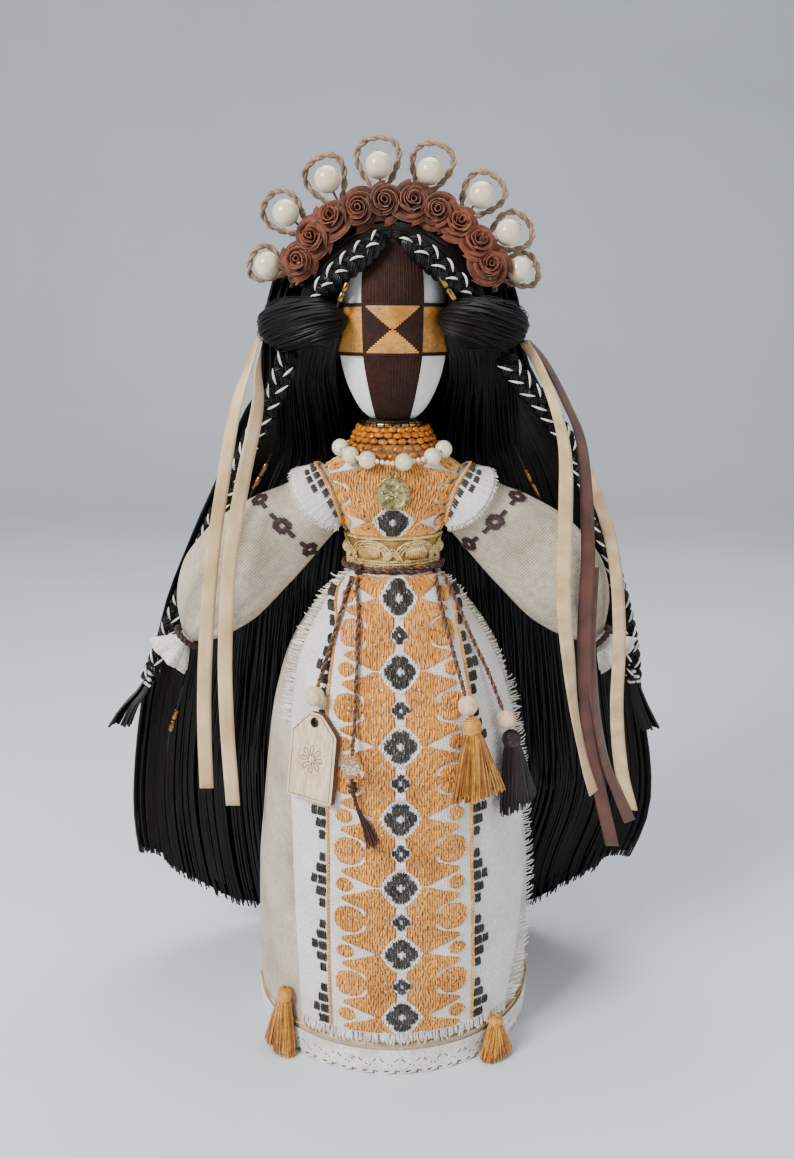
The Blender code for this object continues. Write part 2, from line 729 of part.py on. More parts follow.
def make_base_and_roll():
    base_radius = skirt_radius(0.0) - SKIRT_WALL - GAP
    bm = bmesh.new()
    bmesh.ops.create_cone(
        bm, cap_ends=True, segments=48, radius1=base_radius, radius2=base_radius, depth=BASE_THICKNESS,
        matrix=Matrix.Translation((0.0, 0.0, BASE_THICKNESS / 2)),
    )
    add_mesh("base_disc", bm, BOARD)
    inset = SKIRT_WALL + GAP * 2
    bottom = BASE_THICKNESS + GAP
    profile = [(0.0, ROLL_TOP), (ROLL_RADIUS, ROLL_TOP), (ROLL_RADIUS, SKIRT_HEIGHT)]
    for share in reversed(LINING_ROWS[1:-1]):
        spot = on_skirt(90.0, SKIRT_HEIGHT * share, -inset)
        profile.append((spot.x, spot.z))
    profile += [(skirt_radius(bottom) - inset, bottom), (0.0, bottom)]
    turned_form("body_roll", profile, LINEN, 24)


def fold_lift(angle, share):
    """How far the gathered skirt stands out: nothing under the apron, full at the sides and back."""
    side = min(max((abs(angle) - 68.0) / 20.0, 0.0), 1.0)
    fade = value_at(((0.0, 0.0), (0.45, 0.5), (0.85, 1.0), (1.0, 0.0)), share)
    return FOLD_DEPTH * side * fade * (1 - math.cos(math.radians(FOLD_COUNT * angle))) / 2


def make_skirt():
    stations = [(share, True) for share in reversed(SKIRT_ROWS)] + [(share, False) for share in LINING_ROWS]
    count = len(stations)

    def place(u, v):
        share, outside = stations[round(v * count) % count]
        angle = -180.0 + 360.0 * u
        lift = fold_lift(angle, share) if outside else -SKIRT_WALL
        if share in (0.0, 1.0):
            # The two rims are level, so the wall is measured straight across them.
            radius = skirt_radius(share * SKIRT_HEIGHT) + lift
            turn = math.radians(angle)
            return Vector((radius * math.sin(turn), -radius * math.cos(turn), share * SKIRT_HEIGHT))
        return on_skirt(angle, share * SKIRT_HEIGHT, lift)

    closed_form("skirt", 48, count, place, LINEN)


def make_hem_lace():
    def place(u, v):
        angle = -180.0 + 360.0 * u
        wave = (1 - math.cos(math.radians(angle * SCALLOP_COUNT))) / 2
        height = LACE_HEIGHT * v + SCALLOP_DEPTH * wave * (1 - v)
        return on_skirt(angle, height, GAP * 1.4)

    sheet_form("hem_lace", SCALLOP_COUNT * 2, 1, place, LACE_THICKNESS, WHITE_CLOTH, ring=True)


def make_apron():
    rows = len(APRON_ROWS) - 1

    def place(u, v):
        left = value_at(APRON_LEFT_EDGE, v)
        right = value_at(APRON_RIGHT_EDGE, v)
        angle = left + (right - left) * u
        share = APRON_ROWS[round(v * rows)]
        flute = APRON_FLUTE * (1 - math.cos(math.radians(360 * 6 * u))) / 2 * share * share
        return on_skirt(angle, SKIRT_HEIGHT * share, GAP * 1.5 + flute)

    sheet_form("apron", 18, rows, place, APRON_THICKNESS, WOVEN)


def tassel(title, top, down, out, finish, height, spread, head, flatness):
    """A tassel: a wound head, a pinched neck and a fluted fall of threads."""
    down = down.normalized()
    out = (out - down * out.dot(down)).normalized()
    side = down.cross(out)
    # Shares of the height and of the head's radius, then how far the threads have spread.
    row_shares = ((0.0, 0.45, 0.0), (0.07, 0.95, 0.0), (0.14, 1.0, 0.0), (0.20, 0.72, 0.0), (0.32, 0.95, 0.0),
                  (0.62, 0.95, 0.53), (1.0, 0.95, 1.0))
    rows = len(row_shares) - 1

    def place(u, v):
        turn = math.tau * u
        fall, radius, spreading = row_shares[round(v * rows)]
        flute = 1 + 0.09 * math.cos(turn * 6) if spreading else 1.0
        wide = (head * radius + (spread - head * radius) * spreading) * flute
        deep = (head * radius + (spread * flatness - head * radius) * spreading) * flute
        return top + down * (height * fall) + side * (wide * math.sin(turn)) + out * (deep * math.cos(turn))

    return closed_form(title, 12, rows, place, finish)


def make_hem_tassels():
    lift = TASSEL_HEAD_RADIUS + GAP * 2
    low_lift = HEM_TASSEL_SPREAD * 0.56 + LACE_THICKNESS + GAP * 4
    for title, angle, swing, top in HEM_TASSELS:
        height = top * DRESS_UNIT - HEM_TASSEL_CLEARANCE
        start = on_skirt(angle, top * DRESS_UNIT, lift)
        end = on_skirt(angle + swing, HEM_TASSEL_CLEARANCE, low_lift)
        tassel(title, start, end - start, on_skirt(angle, 0.0), GOLD_THREAD, height,
               HEM_TASSEL_SPREAD, TASSEL_HEAD_RADIUS * 0.8, 0.5)
        hang_on(f"{title}_pivot", start, [title])


def make_bodice():
    def place(u, v):
        return on_bodice(-180.0 + 360.0 * u, v)

    bodice = closed_form("bodice", 24, BODICE_ROWS, place, WOVEN)
    bore = turned_form("bodice_bore", [
        (0.0, ROLL_TOP + OVERRUN), (ROLL_RADIUS + GAP * 1.6, ROLL_TOP + OVERRUN),
        (ROLL_RADIUS + GAP * 1.6, BODICE_BOTTOM - OVERRUN), (0.0, BODICE_BOTTOM - OVERRUN),
    ], LINEN, 24, CUTTERS)
    combine(bodice, "DIFFERENCE", bore)
    for side in (-1, 1):
        socket = ball(f"socket_{side}", (side * SHOULDER_REACH, 0.0, SHOULDER_HEIGHT),
                      [SHOULDER_BALL + SOCKET_ROOM] * 3, LINEN, CUTTERS, 14)
        combine(bodice, "DIFFERENCE", socket)

    def braid_place(u, v):
        return on_bodice(-180.0 + 360.0 * u, v * WAIST_BRAID_ROWS / BODICE_ROWS, GAP)

    sheet_form("waist_braid", 24, WAIST_BRAID_ROWS, braid_place, WAIST_BRAID_THICKNESS, WOVEN, ring=True)


def belt_point(angle, lift=0.0):
    """A point on the belt, which wraps the waist over the foot of the bodice's braid."""
    spot = on_bodice(angle, 0.0, GAP * 2 + WAIST_BRAID_THICKNESS + BELT_TUBE + lift)
    return Vector((spot.x, spot.y, BELT_HEIGHT))


def make_belt():
    route = [belt_point(360.0 * step / 24) for step in range(24)]
    belt = as_mesh(tube_form("belt_cord", route, BELT_TUBE, BROWN_THREAD, 1, closed=True))
    for index, angle in enumerate(BELT_KNOT_ANGLES):
        centre = belt_point(angle, BELT_TUBE * 0.6)
        knot = ball(f"belt_knot_{index}", centre, [BELT_KNOT_RADIUS] * 3, BROWN_THREAD, CUTTERS, 8)
        combine(belt, "UNION", knot)


# Arms.


def arm_frame(side):
    """The shoulder point, the arm's direction and the direction square to it, up and out."""
    slope = math.radians(ARM_SLOPE)
    along = Vector((side * math.cos(slope), 0.0, -math.sin(slope)))
    rise = Vector((side * math.sin(slope), 0.0, math.cos(slope)))
    return Vector((side * SHOULDER_REACH, 0.0, SHOULDER_HEIGHT)), along, rise


def arm_point(side, share, turn, lift=0.0):
    """A point on the sleeve: turn 0 is its upper edge and 90 its front."""
    start, along, rise = arm_frame(side)
    bow = ARM_LENGTH * value_at(SLEEVE_SHARES, share, 1)
    wide = SLEEVE_FULLNESS * value_at(SLEEVE_SHARES, share, 2)
    flat = 1 - (1 - SLEEVE_FLATNESS_SHARE) * min(max(share, 0.0) / 0.4, 1.0)
    angle = math.radians(turn)
    centre = start + along * (ARM_LENGTH * share) + rise * bow
    return centre + rise * ((wide + lift) * math.cos(angle)) + Vector((0, -1, 0)) * (
        (wide * flat + lift) * math.sin(angle)
    )


def make_arm(side):
    name = "left" if side < 0 else "right"
    start, along, rise = arm_frame(side)
    rows = 14

    def sleeve_place(u, v):
        turn = 360.0 * u
        row = round(v * rows)
        if row < 4:
            # The sleeve starts as a ball in the bodice's armhole.
            lean = math.radians(90.0 * row / 4)
            ring = SHOULDER_BALL * math.sin(lean)
            angle = math.radians(turn)
            return (
                start - along * (SHOULDER_BALL * math.cos(lean)) + rise * (ring * math.cos(angle))
                - Vector((0, 1, 0)) * (ring * math.sin(angle))
            )
        share = (row - 4) / (rows - 4)
        pleat = SLEEVE_PLEAT * share * share * math.cos(math.radians(turn * 7)) * (1 - share) * 4
        return arm_point(side, share, turn, pleat)

    closed_form(f"{name}_sleeve", 14, rows, sleeve_place, LINEN)

    wrist = start + along * ARM_LENGTH
    tie_centre = wrist + along * (TIE_TUBE + GAP)
    tie_radius = CUFF_NECK + GAP + CUFF_THICKNESS + TIE_TUBE * 0.7
    route = []
    for step in range(14):
        angle = math.tau * step / 14
        across = Vector((0, 1, 0)) * (tie_radius * math.sin(angle))
        route.append(tie_centre + rise * (tie_radius * math.cos(angle)) + across)
    tube_form(f"{name}_wrist_tie", route, TIE_TUBE, BROWN_THREAD, 1, closed=True)

    cuff_start = tie_centre - along * TIE_TUBE * 0.9
    grow = CUFF_MOUTH - CUFF_NECK

    def cuff_place(u, v):
        angle = -side * math.tau * u
        frill = CUFF_FRILL_DEPTH * v * v * math.cos(angle * CUFF_FRILLS)
        flare = max(v - 0.28, 0.0) / 0.72
        wide = CUFF_NECK - CUFF_THICKNESS + grow * flare ** 0.85 + frill
        deep = CUFF_NECK - CUFF_THICKNESS + grow * 0.62 * flare ** 0.85 + frill
        return (
            cuff_start + along * ((CUFF_LENGTH + 2 * TIE_TUBE) * v) + rise * (wide * math.cos(angle))
            - Vector((0, 1, 0)) * (deep * math.sin(angle))
        )

    sheet_form(f"{name}_cuff", CUFF_FRILLS * 3, 2, cuff_place, CUFF_THICKNESS, WHITE_CLOTH, ring=True)
    hang_on(f"{name}_shoulder_pivot", start, [f"{name}_sleeve", f"{name}_wrist_tie", f"{name}_cuff"])

    def wing_place(u, v):
        low, high = WING_REACH_SHARES
        share = low + (high - low) * v
        first, last = WING_ANGLES
        turn = first + (last + WING_FRONT_SPREAD * v - first) * (u if side > 0 else 1 - u)
        lift = WING_LIFT + WING_FLARE * v * v
        return arm_point(side, max(share, 0.0), turn, lift) + along * (ARM_LENGTH * min(share, 0.0))

    sheet_form(f"{name}_shoulder_wing", 12, 4, wing_place, WING_THICKNESS, WHITE_CLOTH)


# Neck, head and face.


def make_head():
    turned_form("neck_winding", [
        (0.0, NECK_TOP), (NECK_RADIUS * 0.86, NECK_TOP), (NECK_RADIUS, NECK_TOP - NECK_SLOPE),
        (NECK_RADIUS, ROLL_TOP + GAP), (0.0, ROLL_TOP + GAP),
    ], BROWN_THREAD, 20)
    profile = []
    for row in range(HEAD_ROWS + 1):
        share = 1 - row / HEAD_ROWS
        profile.append((HEAD_RADIUS * value_at(HEAD_SHARES, share), HEAD_BOTTOM + HEAD_HEIGHT * share))
    profile.append((0.0, HEAD_BOTTOM))
    turned_form("head", profile, WHITE_CLOTH, 24)

    band_rows = HEAD_ROWS - 3

    def brown_place(u, v):
        # Its rows match the head's, so that it lies evenly on it.
        share = (1 + v * band_rows) / HEAD_ROWS
        height = HEAD_BOTTOM + HEAD_HEIGHT * share
        half = FACE_BAND_HALF_WIDTH * value_at(FACE_BAND_SHARES, share)
        reach = math.degrees(math.asin(min(half / head_radius(height), 0.95)))
        return on_head(reach * (2 * u - 1), height, BAND_LIFT)

    sheet_form("face_band_brown", 5, band_rows, brown_place, BAND_THICKNESS, BROWN_THREAD)

    low, high = (HEAD_BOTTOM + HEAD_HEIGHT * share for share in GOLD_BAND_SHARES)
    edge = math.degrees(math.asin((FACE_BAND_HALF_WIDTH + GAP * 2) / head_radius((low + high) / 2))) + 1.5

    def gold_place(u, v):
        return on_head(edge + (360.0 - 2 * edge) * u, low + (high - low) * v, BAND_LIFT)

    sheet_form("face_band_gold", 22, 3, gold_place, BAND_THICKNESS, GOLD_THREAD)


# Hair.


def cap_body(title, grow, group, segments=20):
    return ball(title, CAP_CENTRE, [radius + grow for radius in CAP_RADII], HAIR, group, segments)


def make_hair_cap():
    cap = cap_body("hair_cap", 0.0, None)
    rows = 12
    lining = []
    for row in range(rows + 1):
        share = 1 - row / rows
        lining.append((HEAD_RADIUS * value_at(HEAD_SHARES, share) + CAP_LINING * min(1.0, row),
                       HEAD_BOTTOM + HEAD_HEIGHT * share + CAP_LINING * (1 if row == 0 else share)))
    lining.append((0.0, HEAD_BOTTOM))
    room = turned_form("head_room", lining, HAIR, 24, CUTTERS)

    bm = bmesh.new()
    outline = []
    for share, rise in FACE_ARCH_SHARES:
        outline.append((share * FACE_ARCH_HALF_WIDTH, CAP_BOTTOM + (PARTING_HEIGHT - CAP_BOTTOM) * rise))
    ring = [(x, z) for x, z in outline] + [(-x, z) for x, z in reversed(outline[:-1])]
    ring = [(ring[-1][0], CAP_BOTTOM - OVERRUN)] + [(ring[0][0], CAP_BOTTOM - OVERRUN)] + ring
    front = CAP_CENTRE[1] - CAP_RADII[1] - OVERRUN
    verts = [bm.verts.new((x, front, z)) for x, z in ring]
    face = bm.faces.new(verts)
    pushed = bmesh.ops.extrude_face_region(bm, geom=[face])
    moved = [item for item in pushed["geom"] if isinstance(item, bmesh.types.BMVert)]
    bmesh.ops.translate(bm, verts=moved, vec=(0.0, CAP_CENTRE[1] - FACE_ARCH_BACK - front, 0.0))
    bmesh.ops.recalc_face_normals(bm, faces=bm.faces)
    arch = add_mesh("face_arch", bm, HAIR, CUTTERS, smooth=False)

    reach = max(CAP_RADII) * 2
    low, high = (-reach, -reach, CAP_BOTTOM - reach), (reach, reach, CAP_BOTTOM)
    under = block("cap_underside", low, high, HAIR, CUTTERS)
    combine(cap, "DIFFERENCE", under, room, arch)


def hair_value(height_share, column):
    return value_at(HAIR_SHARES, height_share, column)


def make_hair_curtain():
    rows = len(HAIR_ROWS) - 1

    def place(u, v):
        swing = 1 - 2 * u
        turn = math.radians(90.0 * swing)
        edge = abs(math.sin(turn)) ** 5
        bottom = HAIR_MIDDLE_BOTTOM + (HAIR_EDGE_BOTTOM - HAIR_MIDDLE_BOTTOM) * edge
        height = bottom + (HAIR_TOP - bottom) * HAIR_ROWS[round(v * rows)]
        share = (height - HAIR_MIDDLE_BOTTOM) / (HAIR_TOP - HAIR_MIDDLE_BOTTOM)
        wide = HAIR_HALF_WIDTH * hair_value(share, 1 if swing < 0 else 2) - HAIR_THICKNESS
        near = HAIR_DEPTH * hair_value(share, 3)
        far = HAIR_DEPTH * hair_value(share, 4)
        belly = math.cos(turn) ** (1.6 if share < 0.62 else 1.6 - 0.6 * min((share - 0.62) / 0.2, 1.0))
        lock = LOCK_DEPTH * (1 + math.cos(math.pi * LOCK_COUNT * swing)) * (1 - v)
        return Vector((wide * math.sin(turn), near + (far - near) * belly + lock, height))

    sheet_form("hair_curtain", 26, rows, place, HAIR_THICKNESS, HAIR)


def hair_point(side, x, y, height):
    """A point by the head from head units, mirrored where side is -1."""
    return Vector((side * x, y, height)) * HEAD_UNIT + Vector((0.0, 0.0, HEAD_BOTTOM))


def make_hair_forms(side):
    name = "left" if side < 0 else "right"
    guard = cap_body(f"{name}_cap_guard", GAP, CUTTERS)
    route = smooth_route([hair_point(side, *point) for point in TEMPLE_ROLL_POINTS], len(TEMPLE_ROLL_SHARES))
    roll = as_mesh(tube_form(f"{name}_temple_roll", route, TEMPLE_ROLL_RADIUS, HAIR, 1, TEMPLE_ROLL_SHARES))
    combine(roll, "DIFFERENCE", guard)

    route = smooth_route([hair_point(side, *point) for point in FRONT_BRAID_POINTS], len(FRONT_BRAID_SHARES))
    braid = as_mesh(tube_form(f"{name}_front_braid", route, FRONT_BRAID_RADIUS, HAIR, 1, FRONT_BRAID_SHARES))
    combine(braid, "DIFFERENCE", guard)


def make_side_braids():
    for title, points in (("left_side_braid", LEFT_BRAID_POINTS), ("right_side_braid", RIGHT_BRAID_POINTS)):
        route = smooth_route([hair_point(1, *point) for point in points], BRAID_STEPS)
        widths = []
        for index in range(BRAID_STEPS):
            share = index / (BRAID_STEPS - 1)
            plait = 1 + 0.10 * math.cos(math.pi * index)
            if share < BRAID_END_SHARE:
                widths.append((1.0 - 0.22 * share) * plait)
            elif share < BRAID_TIE_SHARE:
                widths.append(BRAID_TIE_NARROW_SHARE)
            else:
                widths.append(0.6 + 0.75 * (share - BRAID_TIE_SHARE) / (1 - BRAID_TIE_SHARE))
        tube_form(title, route, SIDE_BRAID_RADIUS, HAIR, 1, widths)


# Ribbons.


def ribbon(title, stations, finish, rows):
    """A satin ribbon through stations, each its middle and then half its width."""
    points = []
    for x, y, height, *half in stations:
        points.append(Vector((*hair_point(1, x, y, height), *(Vector(half) * HEAD_UNIT))))
    route = smooth_route(points, rows + 1)

    def place(u, v):
        station = route[round(v * rows)]
        return Vector(station[:3]) + Vector(station[3:]) * (2 * u - 1)

    return sheet_form(title, 1, rows, place, RIBBON_THICKNESS, finish)


def make_ribbons():
    ribbon("left_cream_ribbon", LEFT_CREAM_RIBBON, CREAM_SATIN, 30)
    ribbon("right_cream_ribbon", RIGHT_CREAM_RIBBON, CREAM_SATIN, 20)
    ribbon("right_brown_ribbon", RIGHT_BROWN_RIBBON, BROWN_SATIN, 18)


# Crown.


def make_crown_band():
    inner = CROWN_BAND_RADIUS
    steps = 24

    def place(u, v):
        angle = CROWN_SPREAD * (2 * v - 1)
        corner = round(u * 4) % 4
        radius = inner + (CROWN_BAND_THICKNESS if corner in (1, 2) else 0.0)
        depth = CROWN_BAND_PLANE + CROWN_BAND_DEPTH / 2 * (1 if corner in (2, 3) else -1)
        return crown_point(angle, radius, depth)

    closed_form("crown_band", 4, steps, place, JUTE)


def rose(title, centre, facing, spin):
    """A paper rose: a cupped ring of petals round a spiral bud."""
    side = facing.cross(Vector((0, 0, 1))).normalized()
    up = side.cross(facing)
    # (radius share, height share, petal lobes share, spiral share) from the back to the bud
    ring_shares = ((0.0, 0.0, 0.0, 0.0), (1.0, 0.5, 0.1, 0.0), (0.86, 0.80, 0.10, 0.0),
                   (0.66, 0.55, 0.04, 0.10), (0.42, 0.95, 0.05, 0.10), (0.0, 0.72, 0.0, 0.0))
    rows = len(ring_shares) - 1

    def place(u, v):
        turn = math.tau * u
        radius, height, lobes, curl = ring_shares[round(v * rows)]
        radius = ROSE_RADIUS * (radius + lobes * math.cos(5 * turn + spin))
        rise = ROSE_HEIGHT * (height + curl * math.cos(turn * 2 + spin))
        return centre + facing * rise + side * (radius * math.cos(turn)) + up * (radius * math.sin(turn))

    return closed_form(title, 10, rows, place, PAPER, CUTTERS)


def make_roses():
    first, last = ROSE_ANGLES[0], ROSE_ANGLES[-1]
    depth = ROSE_FRONT - GARLAND_CORE * 0.64
    route = [crown_point(first + (last - first) * step / 24, ROSE_RING_RADIUS, depth) for step in range(25)]
    garland = as_mesh(tube_form("rose_garland", route, GARLAND_CORE, PAPER, 1))
    for index, angle in enumerate(ROSE_ANGLES):
        outward = crown_point(angle, 1.0, 0.0) - crown_point(angle, 0.0, 0.0)
        lean = (0.1, 0.3, 0.05, 0.2)[index % 4] if 0 < index < len(ROSE_ANGLES) - 1 else 0.05
        facing = (Vector((0, -1, 0)) + outward * lean).normalized()
        centre = crown_point(angle, ROSE_RING_RADIUS, ROSE_FRONT - GARLAND_CORE * 0.5)
        combine(garland, "UNION", rose(f"rose_{index}", centre, facing, index * 1.7))


def loop_angle(t):
    """The angle at turn t of the twine: it stays by a loop's middle and moves on at its foot."""
    index = min(int(t), len(LOOP_SHARES) - 1)
    angles = [row[0] for row in LOOP_SHARES]
    offset = 2 * (t - index) - 1
    other = index + (1 if offset > 0 else -1)
    gap = abs(angles[other] - angles[index]) if 0 <= other < len(angles) else 12.0
    return angles[index] + math.copysign(abs(offset) ** LOOP_EASE, offset) * gap / 2


def jute_route():
    """The twine's loops as one running line. It prints the least gap of the twine to itself."""
    spans = [(0.5 + index, *row) for index, row in enumerate(LOOP_SHARES)]
    route = []
    for step in range(len(LOOP_SHARES) * LOOP_POINTS + 1):
        t = step / LOOP_POINTS
        angle = loop_angle(t)
        reach = LOOP_REACH * value_at(spans, t, 2) - TWINE_DIAMETER / 2
        half = LOOP_HALF_WIDTH * value_at(spans, t, 3)
        phase = math.tau * t
        height = (1 - math.cos(phase)) / 2
        radius = LOOP_FOOT_RADIUS + (reach - LOOP_FOOT_RADIUS) * height
        spot = crown_point(angle, radius, TWINE_PLANE - TWINE_SWING * math.sin(phase))
        turn = math.radians(angle)
        spread = half * math.sin(phase) * (0.45 + 0.75 * height)
        route.append(spot + Vector((math.cos(turn), 0.0, -math.sin(turn))) * spread)
    least = 1.0
    for index, here in enumerate(route):
        for other in range(index + LOOP_POINTS // 4, len(route)):
            least = min(least, (route[other] - here).length - TWINE_DIAMETER)
    print(f"least gap of the twine to itself: {least / MM:.2f} mm")
    return route


def make_jute_loops():
    tube_form("jute_loops", jute_route(), TWINE_DIAMETER / 2, JUTE, 1)


def make_crown_beads():
    root = CROWN_BAND_RADIUS + CROWN_BAND_THICKNESS + GAP * 2
    for index, (angle, share) in enumerate(CROWN_BEAD_SHARES):
        centre = crown_point(angle, CROWN_BEAD_REACH * share, CROWN_BEAD_PLANE)
        foot = crown_point(angle, root, CROWN_BEAD_PLANE)
        bead = ball(f"crown_bead_{index + 1}", centre, [CROWN_BEAD_RADIUS] * 3, IVORY, None, 8)
        route = [foot, (foot + centre) / 2, centre]
        stem = as_mesh(tube_form(f"stem_{index + 1}", route, STEM_RADIUS, BROWN_THREAD, 1, group=CUTTERS))
        combine(bead, "UNION", stem)
    pieces = ["crown_band", "rose_garland", "jute_loops"]
    pieces += [f"crown_bead_{index + 1}" for index in range(len(CROWN_BEAD_SHARES))]
    hang_on("crown_pivot", crown_point(0.0, 0.0, 0.0), pieces)


# Necklaces.


def ring_point(angle, radius, height, drop):
    """A point on a necklace that hangs lower in front than behind."""
    turn = math.radians(angle)
    return Vector((radius * math.sin(turn), -radius * 0.94 * math.cos(turn), height - drop * math.cos(turn)))


def string_point(angle):
    side = abs((angle + 180.0) % 360.0 - 180.0)
    radius = BEAD_STRING_RADIUS * value_at(BEAD_STRING_SHARES, side, 1)
    height = ROLL_TOP - BEAD_STRING_DROP * value_at(BEAD_STRING_SHARES, side, 2)
    turn = math.radians(angle)
    return Vector((radius * math.sin(turn), -radius * math.cos(turn), height))


def make_necklaces():
    choker = []
    for step in range(16):
        turn = math.tau * step / 16
        across, forward = CHOKER_RADIUS * math.sin(turn), -CHOKER_RADIUS * math.cos(turn)
        choker.append(Vector((across, forward, CHOKER_HEIGHT)))
    tube_form("choker", choker, CHOKER_TUBE, BRASS, 1, closed=True)

    def amber_place(u, v):
        angle = 360.0 * v
        centre = ring_point(angle, AMBER_RADIUS, AMBER_HEIGHT, AMBER_DROP)
        out = Vector((math.sin(math.radians(angle)), -math.cos(math.radians(angle)), 0.0))
        turn = math.tau * u
        chip = 1 + 0.12 * math.cos(math.radians(angle * 14))
        lean = (Vector((0, 0, 1)) - out * 0.35).normalized()
        rise = lean * (AMBER_HALF_HEIGHT * math.sin(turn))
        return centre + out * (AMBER_HALF_THICKNESS * chip * math.cos(turn)) + rise

    closed_form("amber_necklace", 6, 24, amber_place, AMBER)

    string = [string_point(360.0 * step / 20) for step in range(20)]
    strand = as_mesh(tube_form("ivory_necklace", string, BEAD_STRING / 2, WHITE_CLOTH, 1, closed=True))
    for index, angle in enumerate(IVORY_BEAD_ANGLES):
        centre = string_point(angle)
        combine(strand, "UNION", ball(f"ivory_{index}", centre, [IVORY_BEAD_RADIUS] * 3, IVORY, CUTTERS, 8))


def make_coin():
    share = (COIN_HEIGHT - BODICE_BOTTOM) / BODICE_HEIGHT
    surface = on_bodice(0.0, share, GAP * 2).y
    middle = Vector((0.0, surface - COIN_THICKNESS / 2, COIN_HEIGHT))
    bm = bmesh.new()
    face_on = Matrix.Translation(middle) @ Matrix.Rotation(math.radians(90), 4, "X")
    bmesh.ops.create_cone(bm, cap_ends=True, segments=20, radius1=COIN_RADIUS, radius2=COIN_RADIUS,
                          depth=COIN_THICKNESS, matrix=face_on)
    coin = add_mesh("coin_pendant", bm, BRASS)
    ring = []
    top = middle + Vector((0.0, 0.0, COIN_RADIUS + COIN_RING_RADIUS * 0.7))
    for step in range(8):
        turn = math.tau * step / 8
        ring.append(top + Vector((COIN_RING_RADIUS * math.cos(turn), 0.0, COIN_RING_RADIUS * math.sin(turn))))
    loop = as_mesh(tube_form("coin_ring", ring, COIN_RING_WIRE, BRASS, 1, closed=True, group=CUTTERS))
    combine(coin, "UNION", loop)
    hang_on("coin_pivot", top + Vector((0.0, 0.0, COIN_RING_RADIUS - COIN_RING_WIRE)), ["coin_pendant"])


# What hangs from the belt.


def on_dress(stations):
    """The points of a table of (angle, height, lift) in dress units."""
    return [on_skirt(angle, height * DRESS_UNIT, lift * DRESS_UNIT) for angle, height, lift in stations]


def hanging_cord(title, stations):
    """A cord over the skirt. It returns the route's control points."""
    points = on_dress(stations)
    length = sum((b - a).length for a, b in zip(points, points[1:]))
    count = max(8, round(length / (CORD_DIAMETER * 2.5)))
    tube_form(title, smooth_route(points, count), CORD_DIAMETER / 2, BROWN_THREAD, 1)
    return points


def after(points, distance):
    """The point that lies a distance past the end of a route, in its last direction."""
    return points[-1] + (points[-1] - points[-2]).normalized() * distance


def make_tag():
    half, tall = TAG_WIDTH / 2, TAG_HEIGHT / 2
    bm = bmesh.new()
    neck = TAG_SHOULDER * 0.4
    outline = ((-half, -tall), (half, -tall), (half, tall - TAG_SHOULDER), (neck, tall), (-neck, tall),
               (-half, tall - TAG_SHOULDER))
    face = bm.faces.new([bm.verts.new((x, z, 0.0)) for x, z in outline])
    pushed = bmesh.ops.extrude_face_region(bm, geom=[face])
    moved = [item for item in pushed["geom"] if isinstance(item, bmesh.types.BMVert)]
    bmesh.ops.translate(bm, verts=moved, vec=(0.0, 0.0, TAG_THICKNESS))
    bmesh.ops.recalc_face_normals(bm, faces=bm.faces)
    low = on_skirt(TAG_ANGLE, TAG_MIDDLE_HEIGHT - tall, TAG_SKIRT_LIFT)
    high = on_skirt(TAG_ANGLE, TAG_MIDDLE_HEIGHT + tall * 0.94, TAG_SKIRT_LIFT)
    up = (high - low).normalized()
    right = Vector((math.cos(math.radians(TAG_ANGLE)), math.sin(math.radians(TAG_ANGLE)), 0.0))
    out = right.cross(up)
    place = Matrix((right, up, out)).transposed().to_4x4()
    place.translation = (low + high) / 2
    tag = add_mesh("tag", bm, WOOD, smooth=False)
    tag.data.transform(place)
    hole = bmesh.new()
    middle = place @ Matrix.Translation((0.0, tall - TAG_HOLE_RADIUS * 2, TAG_THICKNESS / 2))
    bmesh.ops.create_cone(hole, cap_ends=True, segments=16, radius1=TAG_HOLE_RADIUS, radius2=TAG_HOLE_RADIUS,
                          depth=TAG_THICKNESS + 2 * OVERRUN, matrix=middle)
    combine(tag, "DIFFERENCE", add_mesh("tag_hole", hole, WOOD, CUTTERS, smooth=False))


